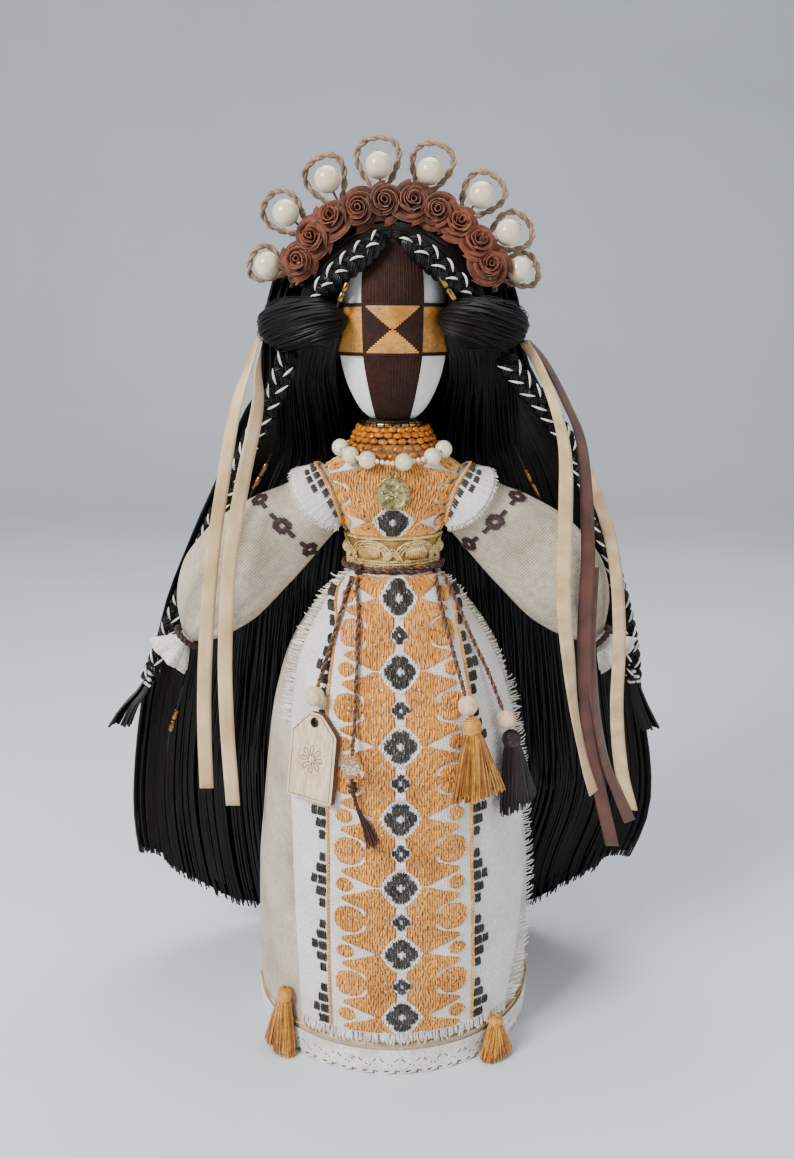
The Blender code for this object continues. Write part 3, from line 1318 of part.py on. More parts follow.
def make_belt_hangings():
    route = hanging_cord("tag_cord", TAG_CORD_STATIONS)
    ball("tag_bead", after(route, WOOD_BEAD_RADIUS + GAP), [WOOD_BEAD_RADIUS] * 3, WOOD)
    make_tag()
    hang_on("tag_pivot", route[0], ["tag_cord", "tag_bead", "tag"])

    route = hanging_cord("crystal_cord", CRYSTAL_CORD_STATIONS)
    ball("crystal_bead", after(route, CRYSTAL_RADIUS + GAP), [CRYSTAL_RADIUS] * 3, AMBER)
    tail = smooth_route(on_dress(CORD_TAIL_STATIONS), len(CORD_TAIL_SHARES))
    tube_form("cord_knot", tail, CORD_DIAMETER / 2, BROWN_THREAD, 1, CORD_TAIL_SHARES)
    hang_on("crystal_pivot", route[0], ["crystal_cord", "crystal_bead", "cord_knot"])

    hangings = (("gold", GOLD_CORD_STATIONS, GOLD_THREAD, 1.5), ("dark", DARK_CORD_STATIONS, HAIR, 3.0))
    for title, stations, finish, swing in hangings:
        route = hanging_cord(f"{title}_tassel_cord", stations)
        bead = after(route, WOOD_BEAD_RADIUS + GAP)
        ball(f"{title}_tassel_bead", bead, [WOOD_BEAD_RADIUS] * 3, WOOD)
        angle = math.degrees(math.atan2(bead.x, -bead.y))
        outward = on_skirt(angle, 0.0).normalized()
        top = bead + (route[-1] - route[-2]).normalized() * (WOOD_BEAD_RADIUS + GAP * 3)
        low_lift = TASSEL_SPREAD_RADIUS * TASSEL_FLATNESS_SHARE * 1.1 + APRON_THICKNESS + GAP * 4
        end = on_skirt(angle + swing, top.z - TASSEL_HEIGHT * 0.97, low_lift)
        tassel(f"{title}_tassel", top, end - top, outward, finish, TASSEL_HEIGHT, TASSEL_SPREAD_RADIUS,
               TASSEL_HEAD_RADIUS, TASSEL_FLATNESS_SHARE)
        hang_on(f"{title}_tassel_pivot", route[0],
                [f"{title}_tassel_cord", f"{title}_tassel_bead", f"{title}_tassel"])


def main():
    make_base_and_roll()
    make_skirt()
    make_hem_lace()
    make_apron()
    make_hem_tassels()
    make_bodice()
    make_belt()
    for side in (-1, 1):
        make_arm(side)
        make_hair_forms(side)
    make_head()
    make_hair_cap()
    make_hair_curtain()
    make_side_braids()
    make_ribbons()
    make_crown_band()
    make_roses()
    make_jute_loops()
    make_crown_beads()
    make_necklaces()
    make_coin()
    make_belt_hangings()


main()
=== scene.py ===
import math
import random

import bmesh
import bpy
from mathutils import Matrix, Vector


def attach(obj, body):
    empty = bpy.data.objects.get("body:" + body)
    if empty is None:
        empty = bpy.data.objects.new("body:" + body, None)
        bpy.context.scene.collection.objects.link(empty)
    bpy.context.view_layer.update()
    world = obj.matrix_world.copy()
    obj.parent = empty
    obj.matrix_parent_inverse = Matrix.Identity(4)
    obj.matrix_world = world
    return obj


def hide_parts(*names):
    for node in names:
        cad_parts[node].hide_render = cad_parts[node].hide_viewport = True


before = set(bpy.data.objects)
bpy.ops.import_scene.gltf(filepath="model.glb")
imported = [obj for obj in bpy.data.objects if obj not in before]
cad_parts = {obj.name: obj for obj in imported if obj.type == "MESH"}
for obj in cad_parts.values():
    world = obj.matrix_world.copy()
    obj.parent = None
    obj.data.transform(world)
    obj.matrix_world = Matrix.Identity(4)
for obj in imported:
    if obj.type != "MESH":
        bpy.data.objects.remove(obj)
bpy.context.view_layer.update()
mm = 0.001  # shapes are worked out in millimetres and scaled once, as each mesh is made
dice = random.Random(11)
up = Vector((0, 0, 1))
front = Vector((0, -1, 0))
print("frame loaded")

# Camera
view = {
    "place": (0.0017, -0.45, 0.302),
    "tiltDown": 13,
    "focalShare": 1071 / 794,  # focal length over the picture's width
}
camera = bpy.data.cameras.new("camera")
camera.sensor_fit = "HORIZONTAL"
camera.lens = camera.sensor_width * view["focalShare"]
camera.clip_start = 0.01
cameraObject = bpy.data.objects.new("camera", camera)
cameraObject.location = view["place"]
cameraObject.rotation_euler = (math.radians(90 - view["tiltDown"]), 0, 0)
bpy.context.scene.collection.objects.link(cameraObject)
bpy.context.scene.camera = cameraObject


# Finishes
def hexColour(text):  # sRGB hex to the linear colour a shader takes
    parts = [int(text[i:i + 2], 16) / 255 for i in (1, 3, 5)]
    return (*[c / 12.92 if c <= 0.04045 else ((c + 0.055) / 1.055) ** 2.4 for c in parts], 1.0)


def addNode(tree, kind, values=None, links=None, **settings):
    node = tree.nodes.new("ShaderNode" + kind)
    for key, value in settings.items():
        setattr(node, key, value)
    for key, value in (values or {}).items():
        node.inputs[key].default_value = value
    for key, socket in (links or {}).items():
        tree.links.new(socket, node.inputs[key])
    return node


def newFinish(name, base, roughness, sockets=None):
    made = bpy.data.materials.new(name)
    made.use_nodes = True
    shader = made.node_tree.nodes["Principled BSDF"]
    shader.inputs["Base Color"].default_value = hexColour(base)
    shader.inputs["Roughness"].default_value = roughness
    for key, value in (sockets or {}).items():
        shader.inputs[key].default_value = value
    return made, made.node_tree, shader


def paint(tree, shader, factor, stops):  # stops are (position, hex)
    node = addNode(tree, "ValToRGB", links={"Fac": factor})
    line = node.color_ramp
    while len(line.elements) < len(stops):
        line.elements.new(0.5)
    for element, (spot, colour) in zip(line.elements, stops):
        element.position = spot
        element.color = hexColour(colour)
    tree.links.new(node.outputs["Color"], shader.inputs["Base Color"])


def roughen(tree, shader, height, depth):
    node = addNode(tree, "Bump", {"Distance": depth * mm}, {"Height": height})
    tree.links.new(node.outputs["Normal"], shader.inputs["Normal"])


def woven(name, light, dark, spacing, depth, sheen=0.2):  # spacing and depth of the threads in mm
    made, tree, shader = newFinish(name, light, 0.9, {"Sheen Weight": sheen, "Sheen Roughness": 0.5})
    place = addNode(tree, "TexCoord").outputs["UV"]  # in metres along the cloth
    scale = 0.314 / (spacing * mm)  # a wave repeats every 0.314 over its scale
    threads = []
    for way in ("X", "Y"):
        wave = addNode(tree, "TexWave", {"Scale": scale, "Distortion": 1.2, "Detail": 2, "Detail Scale": 0.35},
                       {"Vector": place}, bands_direction=way)
        threads.append(wave.outputs["Fac"])
    slub = addNode(tree, "TexNoise", {"Scale": 420, "Detail": 4, "Roughness": 0.65}, {"Vector": place}).outputs["Fac"]
    wear = addNode(tree, "TexNoise", {"Scale": 38, "Detail": 2}, {"Vector": place}).outputs["Fac"]
    crossing = addNode(tree, "Math", links={0: threads[0], 1: threads[1]}, operation="MULTIPLY").outputs[0]
    height = addNode(tree, "Math", links={0: crossing, 1: slub}, operation="ADD").outputs[0]
    tone = addNode(tree, "Math", links={0: height, 1: wear}, operation="MULTIPLY").outputs[0]
    paint(tree, shader, tone, ((0.14, dark), (0.52, light)))
    roughen(tree, shader, height, depth)
    return made


def fibrous(name, light, dark, roughness=0.7, sheen=0.25, grain=1.1, depth=0.12, sockets=None):  # grain in mm
    made, tree, shader = newFinish(name, light, roughness,
                                   {"Sheen Weight": sheen, "Sheen Roughness": 0.4, **(sockets or {})})
    place = addNode(tree, "TexCoord").outputs["Object"]
    fine = addNode(tree, "TexNoise", {"Scale": 1 / (grain * mm), "Detail": 3}, {"Vector": place}).outputs["Fac"]
    broad = addNode(tree, "TexNoise", {"Scale": 0.12 / (grain * mm), "Detail": 2}, {"Vector": place}).outputs["Fac"]
    tone = addNode(tree, "Math", links={0: fine, 1: broad}, operation="MULTIPLY").outputs[0]
    paint(tree, shader, tone, ((0.14, dark), (0.34, light)))
    roughen(tree, shader, fine, depth)
    return made


# Undyed linen, plain weave: slubby, so light breaks on every crossing.
linen = woven("undyedLinen", "#d9ccb9", "#97856d", 0.95, 0.2, 0.08)
# Homespun cotton: the white ground of the apron and bodice, coarser than the linen.
homespun = woven("whiteHomespun", "#fbf9f5", "#cac4ba", 1.15, 0.3, 0.08)
# Crochet cotton: bright, matt and tightly twisted.
crochetCotton = fibrous("crochetCotton", "#f4f1ea", "#c6c0b5", 0.85)
# Stranded embroidery cotton: each float has a soft shine along it.
goldStitch = fibrous("goldEmbroideryCotton", "#eba850", "#c37f35", 0.6, 0.06, 1.6)
# A darker copy of the gold, sunk between its columns of stitches: painted shade.
goldPaintedShade = fibrous("paintedShadeBetweenGoldStitches", "#ab6a2b", "#7f4818", 0.9, 0.0, 1.6)
darkStitch = fibrous("charcoalEmbroideryCotton", "#39332a", "#191511", 0.65, 0.05, 1.6)
whiteStitch = fibrous("whiteEmbroideryCotton", "#f6f3ec", "#cfcac0", 0.6, 0.25, 1.6)
brownStitch = fibrous("brownEmbroideryCotton", "#43272a", "#221213", 0.65, 0.05, 1.6)
# Rayon floss in the tassels: long threads with a silky highlight.
goldFloss = fibrous("goldRayonFloss", "#dfa03f", "#b0742a", 0.42, 0.12, 2.0)
# A darker copy of the gold floss, given to half the threads as painted shade between them.
goldFlossPaintedShade = fibrous("rayonFlossPaintedShade", "#a8681f", "#7b4712", 0.5, 0.05, 2.0)
brownFloss = fibrous("brownRayonFloss", "#33221c", "#120a07", 0.48, 0.08, 2.0)
# Twisted cotton cord, dark brown plied with tan: matt.
cordBrown = fibrous("brownCottonCord", "#4a2518", "#210e08", 0.6, 0.08)
cordTan = fibrous("tanCottonCord", "#8a5a38", "#54301c", 0.6, 0.08)
# Mercerised trim cord: pale gold and slightly glossy, over a duller woven ground whose colour is darkened as painted
# shade under the cords.
trimGold = fibrous("goldMercerisedCord", "#e3c688", "#a87f3c", 0.42, 0.12, 1.4)
trimPaintedShade = fibrous("trimGroundPaintedShade", "#a98446", "#6d4f20", 0.8, 0.0, 1.4)
# Acrylic yarn: near black, with a narrow silky shine along each strand.
yarn = fibrous("blackAcrylicYarn", "#110d0b", "#040303", 0.5, 0.0, 1.25, 0.05, {"Specular IOR Level": 0.35})
# Yarn under the strands, for the backing sheets and cores: it stands for the yarn inside, coloured darker than the yarn
# as painted shade within the hair.
shadedYarnUnder = fibrous("blackYarnUnderlayerPaintedShade", "#070505", "#020202", 0.9, 0.0, 1.1, 0.12, {"Specular IOR Level": 0.1})
# White cotton cord: bright and smooth.
lacing = fibrous("whiteLacingCord", "#f3f1eb", "#c3beb5", 0.5, 0.2)
# Jute twine: dry, hairy bast fibre.
jute = fibrous("juteTwine", "#ab9078", "#6d5a48", 0.95, 0.15, 0.9, 0.2)
# Sewing thread wound tight: fine even ridges, dull on the brown and faintly glossy on the gold.
brownWinding = fibrous("brownWindingThread", "#351a10", "#200e08", 0.7, 0.0, 1.4, 0.05, {"Specular IOR Level": 0.2})
goldWinding = fibrous("goldWindingThread", "#cd9240", "#a06822", 0.42, 0.1, 1.4, 0.05)
neckThread = fibrous("darkNeckThread", "#191210", "#0a0706", 0.65, 0.02)
# Cotton wadding wound with fine cotton: matt, even, barely ridged.
faceCotton = fibrous("faceWindingCotton", "#f0efec", "#dcdbd8", 0.85, 0.3, 0.75, 0.06)
# Stained mulberry paper: matt and fibrous, darker where it was dyed twice, with paler strands on the petals' rims as a
# painted highlight.
paperRimHighlight = fibrous("paperRimPaintedHighlight", "#a9684a", "#6b3821", 0.8, 0.0, 3.0)
paper = fibrous("stainedMulberryPaper", "#7d4027", "#33170b", 0.75, 0.05, 3.2, 0.15)
# Grey board: dull, with loose wood fibres.
board = fibrous("greyBoard", "#b8aa95", "#92856f", 0.9, 0.0, 5.0)
# The wood's cut edge and etched lines: burnt dark and dry.
scorched = fibrous("scorchedWoodEdge", "#6b4430", "#452a1d", 0.75, 0.0)


def satin(name, light, dark):  # woven satin: long floats, so the shine runs across the ribbon
    made, tree, shader = newFinish(name, light, 0.34, {"Sheen Weight": 0.2, "Anisotropic": 0.6})
    place = addNode(tree, "TexCoord").outputs["UV"]
    scale = 0.314 / (0.4 * mm)
    ribs = addNode(tree, "TexWave", {"Scale": scale}, {"Vector": place}, bands_direction="X").outputs["Fac"]
    sway = addNode(tree, "TexNoise", {"Scale": 60}, {"Vector": place}).outputs["Fac"]
    paint(tree, shader, sway, ((0.3, dark), (0.62, light)))
    roughen(tree, shader, ribs, 0.03)
    return made


# Polyester satin ribbon.
creamSatin = satin("creamSatin", "#dcbd90", "#b99462")
brownSatin = satin("brownSatin", "#5f3323", "#381a12")


def mottled(name, light, dark, roughness, grain, depth, sockets, stretch=(1, 1, 1)):  # grain in mm
    made, tree, shader = newFinish(name, light, roughness, sockets)
    place = addNode(tree, "TexCoord").outputs["Object"]
    pulled = addNode(tree, "Mapping", {"Scale": stretch}, {"Vector": place}).outputs["Vector"]
    grains = addNode(tree, "TexNoise", {"Scale": 1 / (grain * mm), "Detail": 4, "Distortion": 0.5}, {"Vector": pulled})
    paint(tree, shader, grains.outputs["Fac"], ((0.34, dark), (0.64, light)))
    roughen(tree, shader, grains.outputs["Fac"], depth)
    return made


# Cast resin under clear lacquer: a bright, small highlight on warm ivory.
ivory = mottled("ivoryResin", "#efe2c6", "#dfcba6", 0.2, 6, 0.005,
                {"Subsurface Weight": 0.15, "Subsurface Radius": (0.004, 0.003, 0.002), "Coat Weight": 0.5,
                 "Coat Roughness": 0.05})
# Tumbled amber-coloured glass: light passes through and pools orange.
amber = mottled("tumbledAmberGlass", "#e59024", "#a8560d", 0.06, 3, 0.02, {"Transmission Weight": 0.35, "IOR": 1.54})
# Cut lead crystal: clear, with sharp facets.
crystal = mottled("cutLeadCrystal", "#fff9f3", "#fbe9da", 0.02, 9, 0.0, {"Transmission Weight": 0.92, "IOR": 1.56})
# Sanded, unvarnished beech: long pale grain.
beech = mottled("sandedBeech", "#ecd3b6", "#cfab85", 0.55, 1.6, 0.03, {}, (1, 1, 0.15))
# Cast brass left to tarnish: bright on its high spots, brown between them.
agedBrass = mottled("tarnishedCastBrass", "#cdbb82", "#6d5f3e", 0.36, 1.5, 0.05, {"Metallic": 1.0})
# Glass tube beads coated with bronze: smooth and shiny.
bronze = mottled("bronzedGlassTube", "#b48a4c", "#5c4324", 0.26, 1.5, 0.01, {"Metallic": 1.0})
print("finishes made")


# Tools for shapes
def finishMesh(name, bm, finish, body, nodes=(), wall=0, side=1, smoothing=0, facing=None):
    bmesh.ops.remove_doubles(bm, verts=bm.verts, dist=1e-5)
    bmesh.ops.recalc_face_normals(bm, faces=bm.faces)
    if facing:  # open cloth can come out either way round
        if sum(face.normal.dot(facing(face.calc_center_median())) for face in bm.faces) < 0:
            bmesh.ops.reverse_faces(bm, faces=bm.faces)
    bmesh.ops.scale(bm, vec=(mm, mm, mm), verts=bm.verts)
    mesh = bpy.data.meshes.new(name)
    bm.to_mesh(mesh)
    bm.free()
    return finishPiece(name, mesh, finish, body, nodes, wall, side, smoothing)


def finishPiece(name, mesh, finish, body, nodes=(), wall=0, side=1, smoothing=0):
    mesh.shade_smooth()
    mesh.set_sharp_from_angle(angle=math.radians(60))
    mesh.materials.clear()
    mesh.materials.append(finish)
    piece = bpy.data.objects.new(name, mesh)
    bpy.context.scene.collection.objects.link(piece)
    if wall:
        cloth = piece.modifiers.new("thickness", "SOLIDIFY")
        cloth.thickness = wall * mm
        cloth.offset = side
    if smoothing:
        smooth = piece.modifiers.new("smooth", "SUBSURF")
        smooth.levels = smooth.render_levels = smoothing
    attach(piece, body)
    if nodes:
        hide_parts(*nodes)
    return piece


def cutAway(piece, cutter):  # the cutter is in metres
    mesh = bpy.data.meshes.new("cutter")
    cutter.to_mesh(mesh)
    cutter.free()
    tool = bpy.data.objects.new("cutter", mesh)
    bpy.context.scene.collection.objects.link(tool)
    hollow = piece.modifiers.new("cut", "BOOLEAN")
    hollow.operation = "DIFFERENCE"
    hollow.object = tool
    bpy.context.view_layer.update()
    piece.data = bpy.data.meshes.new_from_object(piece.evaluated_get(bpy.context.evaluated_depsgraph_get()))
    piece.modifiers.clear()
    bpy.data.objects.remove(tool)


def clothGrid(columns, rows, place, size=(100, 100)):  # place(u, v) gives a point, size is the cloth's own in mm
    bm = bmesh.new()
    chart = bm.loops.layers.uv.new("cloth")
    bmesh.ops.create_grid(bm, x_segments=columns, y_segments=rows, size=0.5)
    for face in bm.faces:
        for loop in face.loops:
            spot = loop.vert.co
            loop[chart].uv = ((spot.x + 0.5) * size[0] * mm, (spot.y + 0.5) * size[1] * mm)
    for vert in bm.verts:
        vert.co = place(vert.co.x + 0.5, vert.co.y + 0.5)
    return bm


def closeEnds(bm):
    bmesh.ops.remove_doubles(bm, verts=bm.verts, dist=1e-4)
    rims = [edge for edge in bm.edges if edge.is_boundary]
    if rims:
        bmesh.ops.holes_fill(bm, edges=rims, sides=0)
    return bm


def strands(name, routes, radius, finish, body, nodes=(), sides=1, widths=None, closed=False):
    line = bpy.data.curves.new(name, "CURVE")
    line.dimensions = "3D"
    line.bevel_depth = radius * mm
    line.bevel_resolution = sides
    line.use_fill_caps = not closed
    for number, route in enumerate(routes):
        spline = line.splines.new("POLY")
        spline.points.add(len(route) - 1)
        spline.points.foreach_set("co", [part for spot in route for part in (*(spot * mm), 1.0)])
        if widths:
            share = widths[number] if isinstance(widths[0], list) else widths
            spline.points.foreach_set("radius", share)
        spline.use_cyclic_u = closed
    holder = bpy.data.objects.new(name, line)
    bpy.context.scene.collection.objects.link(holder)
    bpy.context.view_layer.update()
    mesh = bpy.data.meshes.new_from_object(holder.evaluated_get(bpy.context.evaluated_depsgraph_get()))
    bpy.data.objects.remove(holder)
    bpy.data.curves.remove(line)
    mesh.name = name
    return finishPiece(name, mesh, finish, body, nodes)


def travel(route, out=None):  # (point, sideways, outwards, distance walked) along a route
    steps = []
    walked = 0
    side = None
    for index, spot in enumerate(route):
        ahead = (route[min(index + 1, len(route) - 1)] - route[max(index - 1, 0)]).normalized()
        if index:
            walked += (spot - route[index - 1]).length
        if out:
            side = out.cross(ahead).normalized()
        elif side:
            side = (side - ahead * side.dot(ahead)).normalized()
        else:
            side = ahead.orthogonal().normalized()
        steps.append((spot, side, ahead.cross(side), walked))
    return steps


def ply(route, offset, pitch, count=2, start=0, out=None, share=None):  # helical strands round a route
    made = []
    steps = travel(route, out)
    for number in range(count):
        line = []
        for index, (spot, side, lift, walked) in enumerate(steps):
            turn = math.tau * (walked / pitch + number / count + start)
            reach = offset * (share[index] if share else 1)
            line.append(spot + side * (reach * math.cos(turn)) + lift * (reach * math.sin(turn)))
        made.append(line)
    return made


def plait(route, width, depth, pitch, out, share):  # three strands that cross in turn
    made = []
    for number in range(3):
        line = []
        for index, (spot, side, lift, walked) in enumerate(travel(route, out)):
            turn = math.tau * (walked / pitch + number / 3)
            line.append(spot + side * (width * share[index] * math.sin(turn))
                        + lift * (depth * share[index] * math.sin(2 * turn)))
        made.append(line)
    return made


def valueAt(table, key, column=1):  # the smooth value of a table's column, level past its ends
    if key <= table[0][0]:
        return table[0][column]
    for index in range(len(table) - 1):
        here, there = table[index], table[index + 1]
        if key > there[0]:
            continue
        before, after = table[max(index - 1, 0)], table[min(index + 2, len(table) - 1)]
        span = there[0] - here[0]
        leave = (there[column] - before[column]) / (there[0] - before[0]) * span
        arrive = (after[column] - here[column]) / (after[0] - here[0]) * span
        t = (key - here[0]) / span
        rise = t * t * (3 - 2 * t)
        return (here[column] * (1 - rise) + there[column] * rise + leave * t * (1 - t) ** 2
                - arrive * t * t * (1 - t))
    return table[-1][column]


def smoothRoute(points, count):  # evenly spaced points on a smooth curve through the given ones
    fine = []
    for index in range(len(points) - 1):
        a, b = points[index], points[index + 1]
        before = points[index - 1] if index else a * 2 - b
        after = points[index + 2] if index + 2 < len(points) else b * 2 - a
        for step in range(12):
            t = step / 12
            rise = t * t * (3 - 2 * t)
            fine.append((b * 2 * rise + a * 2 * (1 - rise) + (b - before) * t * (1 - t) ** 2
                         - (after - a) * t * t * (1 - t)) / 2)
    fine.append(points[-1])
    walked = [0]
    for near, far in zip(fine, fine[1:]):
        walked.append(walked[-1] + (far - near).length)
    route, spot = [], 0
    for index in range(count):
        target = walked[-1] * index / (count - 1)
        while spot < len(fine) - 2 and walked[spot + 1] < target:
            spot += 1
        route.append(fine[spot].lerp(fine[spot + 1], (target - walked[spot]) / (walked[spot + 1] - walked[spot])))
    return route


def vectors(points):
    return [Vector(point) for point in points]


# The surfaces that pieces lie on, with the frame's own sizes in mm
skirt = {
    "height": 204, "hem": 60, "waist": 16.5,
    "shares": ((0, 1), (0.06, 1.018), (0.22, 1.018), (0.37, 0.995), (0.47, 0.947), (0.60, 0.885), (0.715, 0.807),
               (0.81, 0.678), (0.88, 0.506), (0.94, 0.31), (0.975, 0.172), (1, 0)),
}
bodice = {
    "bottom": 206.6, "height": 50.4, "halfWidth": 30.5, "halfDepth": 18.5,
    "shares": ((0, 0.585, 0.89), (0.12, 0.59, 0.90), (0.24, 0.61, 0.91), (0.42, 0.80, 0.96), (0.60, 0.98, 1),
               (0.77, 1, 0.93), (0.86, 0.84, 0.82), (0.93, 0.60, 0.72), (1, 0.435, 0.67)),
}
arm = {
    "reach": 28, "height": 234.5, "ball": 13.4, "length": 86, "slope": 45, "fullness": 21, "flatness": 0.6,
    "shares": ((0, 0, 0.638), (0.12, 0.02, 0.70), (0.24, 0.04, 0.82), (0.47, 0.06, 1), (0.66, 0.057, 0.96),
               (0.77, 0.05, 0.84), (0.91, 0.026, 0.56), (1, 0, 0.22)),
}
head = {
    "bottom": 267.5, "height": 78, "radius": 22.5,
    "shares": ((0, 0.42), (0.035, 0.56), (0.10, 0.71), (0.20, 0.86), (0.32, 0.96), (0.46, 1), (0.60, 0.985),
               (0.72, 0.92), (0.82, 0.80), (0.90, 0.65), (0.96, 0.43), (1, 0)),
}


def radial(angle, radius, height):
    turn = math.radians(angle)
    return Vector((radius * math.sin(turn), -radius * math.cos(turn), height))


def skirtRadius(height):
    return skirt["waist"] + (skirt["hem"] - skirt["waist"]) * valueAt(skirt["shares"], height / skirt["height"])


def onSkirt(angle, height, lift=0):
    low, high = max(height - 0.51, 0), min(height + 0.51, skirt["height"])
    slope = math.atan2(skirtRadius(low) - skirtRadius(high), high - low)
    return radial(angle, skirtRadius(height) + lift * math.cos(slope), height + lift * math.sin(slope))


def onBodice(angle, share, lift=0):
    turn = math.radians(angle)
    wide = bodice["halfWidth"] * valueAt(bodice["shares"], share, 1) + lift
    deep = bodice["halfDepth"] * valueAt(bodice["shares"], share, 2) + lift
    return Vector((wide * math.sin(turn), -deep * math.cos(turn), bodice["bottom"] + bodice["height"] * share))


def armFrame(side):
    slope = math.radians(arm["slope"])
    along = Vector((side * math.cos(slope), 0, -math.sin(slope)))
    rise = Vector((side * math.sin(slope), 0, math.cos(slope)))
    return Vector((side * arm["reach"], 0, arm["height"])), along, rise


def onArm(side, share, turn, lift=0):
    start, along, rise = armFrame(side)
    wide = arm["fullness"] * valueAt(arm["shares"], share, 2)
    flat = 1 - (1 - arm["flatness"]) * min(max(share, 0) / 0.4, 1)
    angle = math.radians(turn)
    centre = start + along * (arm["length"] * share) + rise * (arm["length"] * valueAt(arm["shares"], share, 1))
    return centre + rise * ((wide + lift) * math.cos(angle)) + front * ((wide * flat + lift) * math.sin(angle))


def headRadius(height):
    return head["radius"] * valueAt(head["shares"], (height - head["bottom"]) / head["height"])


def onHead(angle, height, lift=0):
    return radial(angle, headRadius(height) + lift, height)


crownHeight = 309  # the middle of the crown's arc and of the hair's cap


def crownPoint(angle, radius, depth):
    turn = math.radians(angle)
    return Vector((radius * math.sin(turn), depth, crownHeight + radius * math.cos(turn)))


# Cords that hang from the belt, as (angle, height, lift) over the skirt
beltCords = {
    "diameter": 1.8,
    "tag": ((-45.5, 200.5, 3.5), (-38.5, 192, 3.3), (-36, 180, 3.3), (-34.8, 170, 4.4), (-34.4, 162.5, 6.2)),
    "crystal": ((-36.5, 200.5, 3.6), (-31, 196.8, 3.7), (-25.5, 192, 3.5), (-20.6, 182, 3.3), (-17.2, 166, 3.3),
                (-16, 152, 4.2), (-15.6, 139.5, 6.4)),
    "gold_tassel": ((48.5, 200.5, 3.5), (37, 192, 3.4), (34, 181, 3.3), (32.6, 170, 4.4), (32.2, 159.5, 6.2)),
    "dark_tassel": ((61.5, 200.5, 3.6), (53, 192, 3.5), (50.4, 179, 3.3), (51.2, 164, 4.4), (52.4, 150, 6.2)),
}
cordPieces = {}


def twoTone(piece, second):  # the later half of its plies takes a second colour
    piece.data.materials.append(second)
    half = len(piece.data.polygons) // 2
    for polygon in piece.data.polygons[half:]:
        polygon.material_index = 1


for name in ("tag", "crystal", "gold_tassel", "dark_tassel"):
    route = smoothRoute([onSkirt(*station) for station in beltCords[name]], 40)
    piece = strands(f"{name}_twisted_cord", ply(route, 0.5, 4.2), 0.58, cordBrown, f"{name}_hanging",
                    [f"{name}_cord"])
    twoTone(piece, cordTan)
    cordPieces[name] = (piece, route)
print("cords laid")


# Dress
def foldLift(angle, share):
    side = min(max((abs(angle) - 68) / 20, 0), 1)
    fade = valueAt(((0, 0.15), (0.45, 0.5), (0.85, 1), (1, 0)), share)
    deep = 1.6 * (1 - math.cos(math.radians(12 * angle))) / 2
    fine = 0.5 * math.sin(math.radians(47 * angle) + 9 * share) * math.sin(math.radians(19 * angle))
    return side * fade * (deep + fine)


def skirtPlace(u, v):
    angle = 360 * u - 180
    if v in (0, 1):
        return radial(angle, skirtRadius(v * skirt["height"]) + foldLift(angle, v), v * skirt["height"])
    return onSkirt(angle, v * skirt["height"], foldLift(angle, v))


def outFromAxis(centre):
    return Vector((centre.x, centre.y, 0))


finishMesh("linen_skirt", clothGrid(220, 90, skirtPlace, (377, 210)), linen, "doll", ["skirt"], 1.2, -1,
           facing=outFromAxis)


def rollPlace(u, v):
    spots = ((0, 3.3), (57.5, 3.3), (57.5, 60), (52, 110), (35, 163), (12, 200), (12, 256), (0, 256))
    radius, height = spots[round(v * 7)]
    return radial(360 * u, radius, height)


finishMesh("cloth_roll", clothGrid(40, 7, rollPlace), linen, "doll", ["body_roll"])
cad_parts["base_disc"].data.materials[0] = board

lace = {"motifs": 42, "height": 12, "thickness": 0.7, "scallop": 1.0}


def lacePlace(u, v):
    angle = 360 * u - 180
    wave = abs(math.sin(math.pi * lace["motifs"] * u))
    return onSkirt(angle, lace["height"] * v + lace["scallop"] * (1 - wave) * (1 - v), 0.42)


laceMesh = clothGrid(lace["motifs"] * 12, 14, lacePlace, (377, 12))
holes = []  # picots along the edge, pairs of slanted holes and small eyelets in each motif
for face in laceMesh.faces:
    centre = face.calc_center_median()
    column = (math.degrees(math.atan2(centre.x, -centre.y)) + 180) / 360 * lace["motifs"] * 12
    row = centre.z
    step = int(column) % 12
    picot = 0.9 < row < 2.1 and step % 6 in (1, 2, 3)
    slant = (6.0 < row < 6.9 and step in (1, 6)) or (6.9 <= row < 7.8 and step in (2, 5))
    eyelet = 4.1 < row < 5.0 and step in (9, 11)
    if picot or slant or eyelet:
        holes.append(face)
bmesh.ops.delete(laceMesh, geom=holes, context="FACES")
finishMesh("crochet_hem", laceMesh, crochetCotton, "doll", ["hem_lace"], lace["thickness"], 1, 1, outFromAxis)
couching = [onSkirt(angle, 14.6 + 0.25 * math.sin(angle * 0.9), 0.5) for angle in range(0, 360, 2)]
strands("couched_hem_cord", ply(couching + couching[:1], 0.3, 2.4), 0.34, trimGold, "doll")

apron = {
    "left": ((0, -38.5), (0.3, -42), (0.5, -47), (0.72, -54), (0.86, -62), (1, -66)),
    "right": ((0, 51), (0.14, 60), (0.3, 68), (0.5, 72), (0.72, 72), (0.86, 71), (1, 68)),
    "bottom": 0.098, "thickness": 1.0, "flat": (0.107, 0.195),
}


def onApron(u, v, lift=0):  # u across from left to right, v up from the bottom edge
    left, right = valueAt(apron["left"], v), valueAt(apron["right"], v)
    share = apron["bottom"] + (1 - apron["bottom"]) * v
    flute = 0.5 * (1 - math.cos(math.tau * 6 * u)) / 2 * share * share
    ripple = 0.12 * math.sin(23 * u + 11 * v) * math.sin(31 * v)
    return onSkirt(left + (right - left) * u, skirt["height"] * share, 0.45 + flute + ripple + lift)


apronCloth = finishMesh("woven_apron", clothGrid(90, 110, onApron, (100, 195)), homespun, "doll", ["apron"],
                        apron["thickness"], 1, facing=outFromAxis)

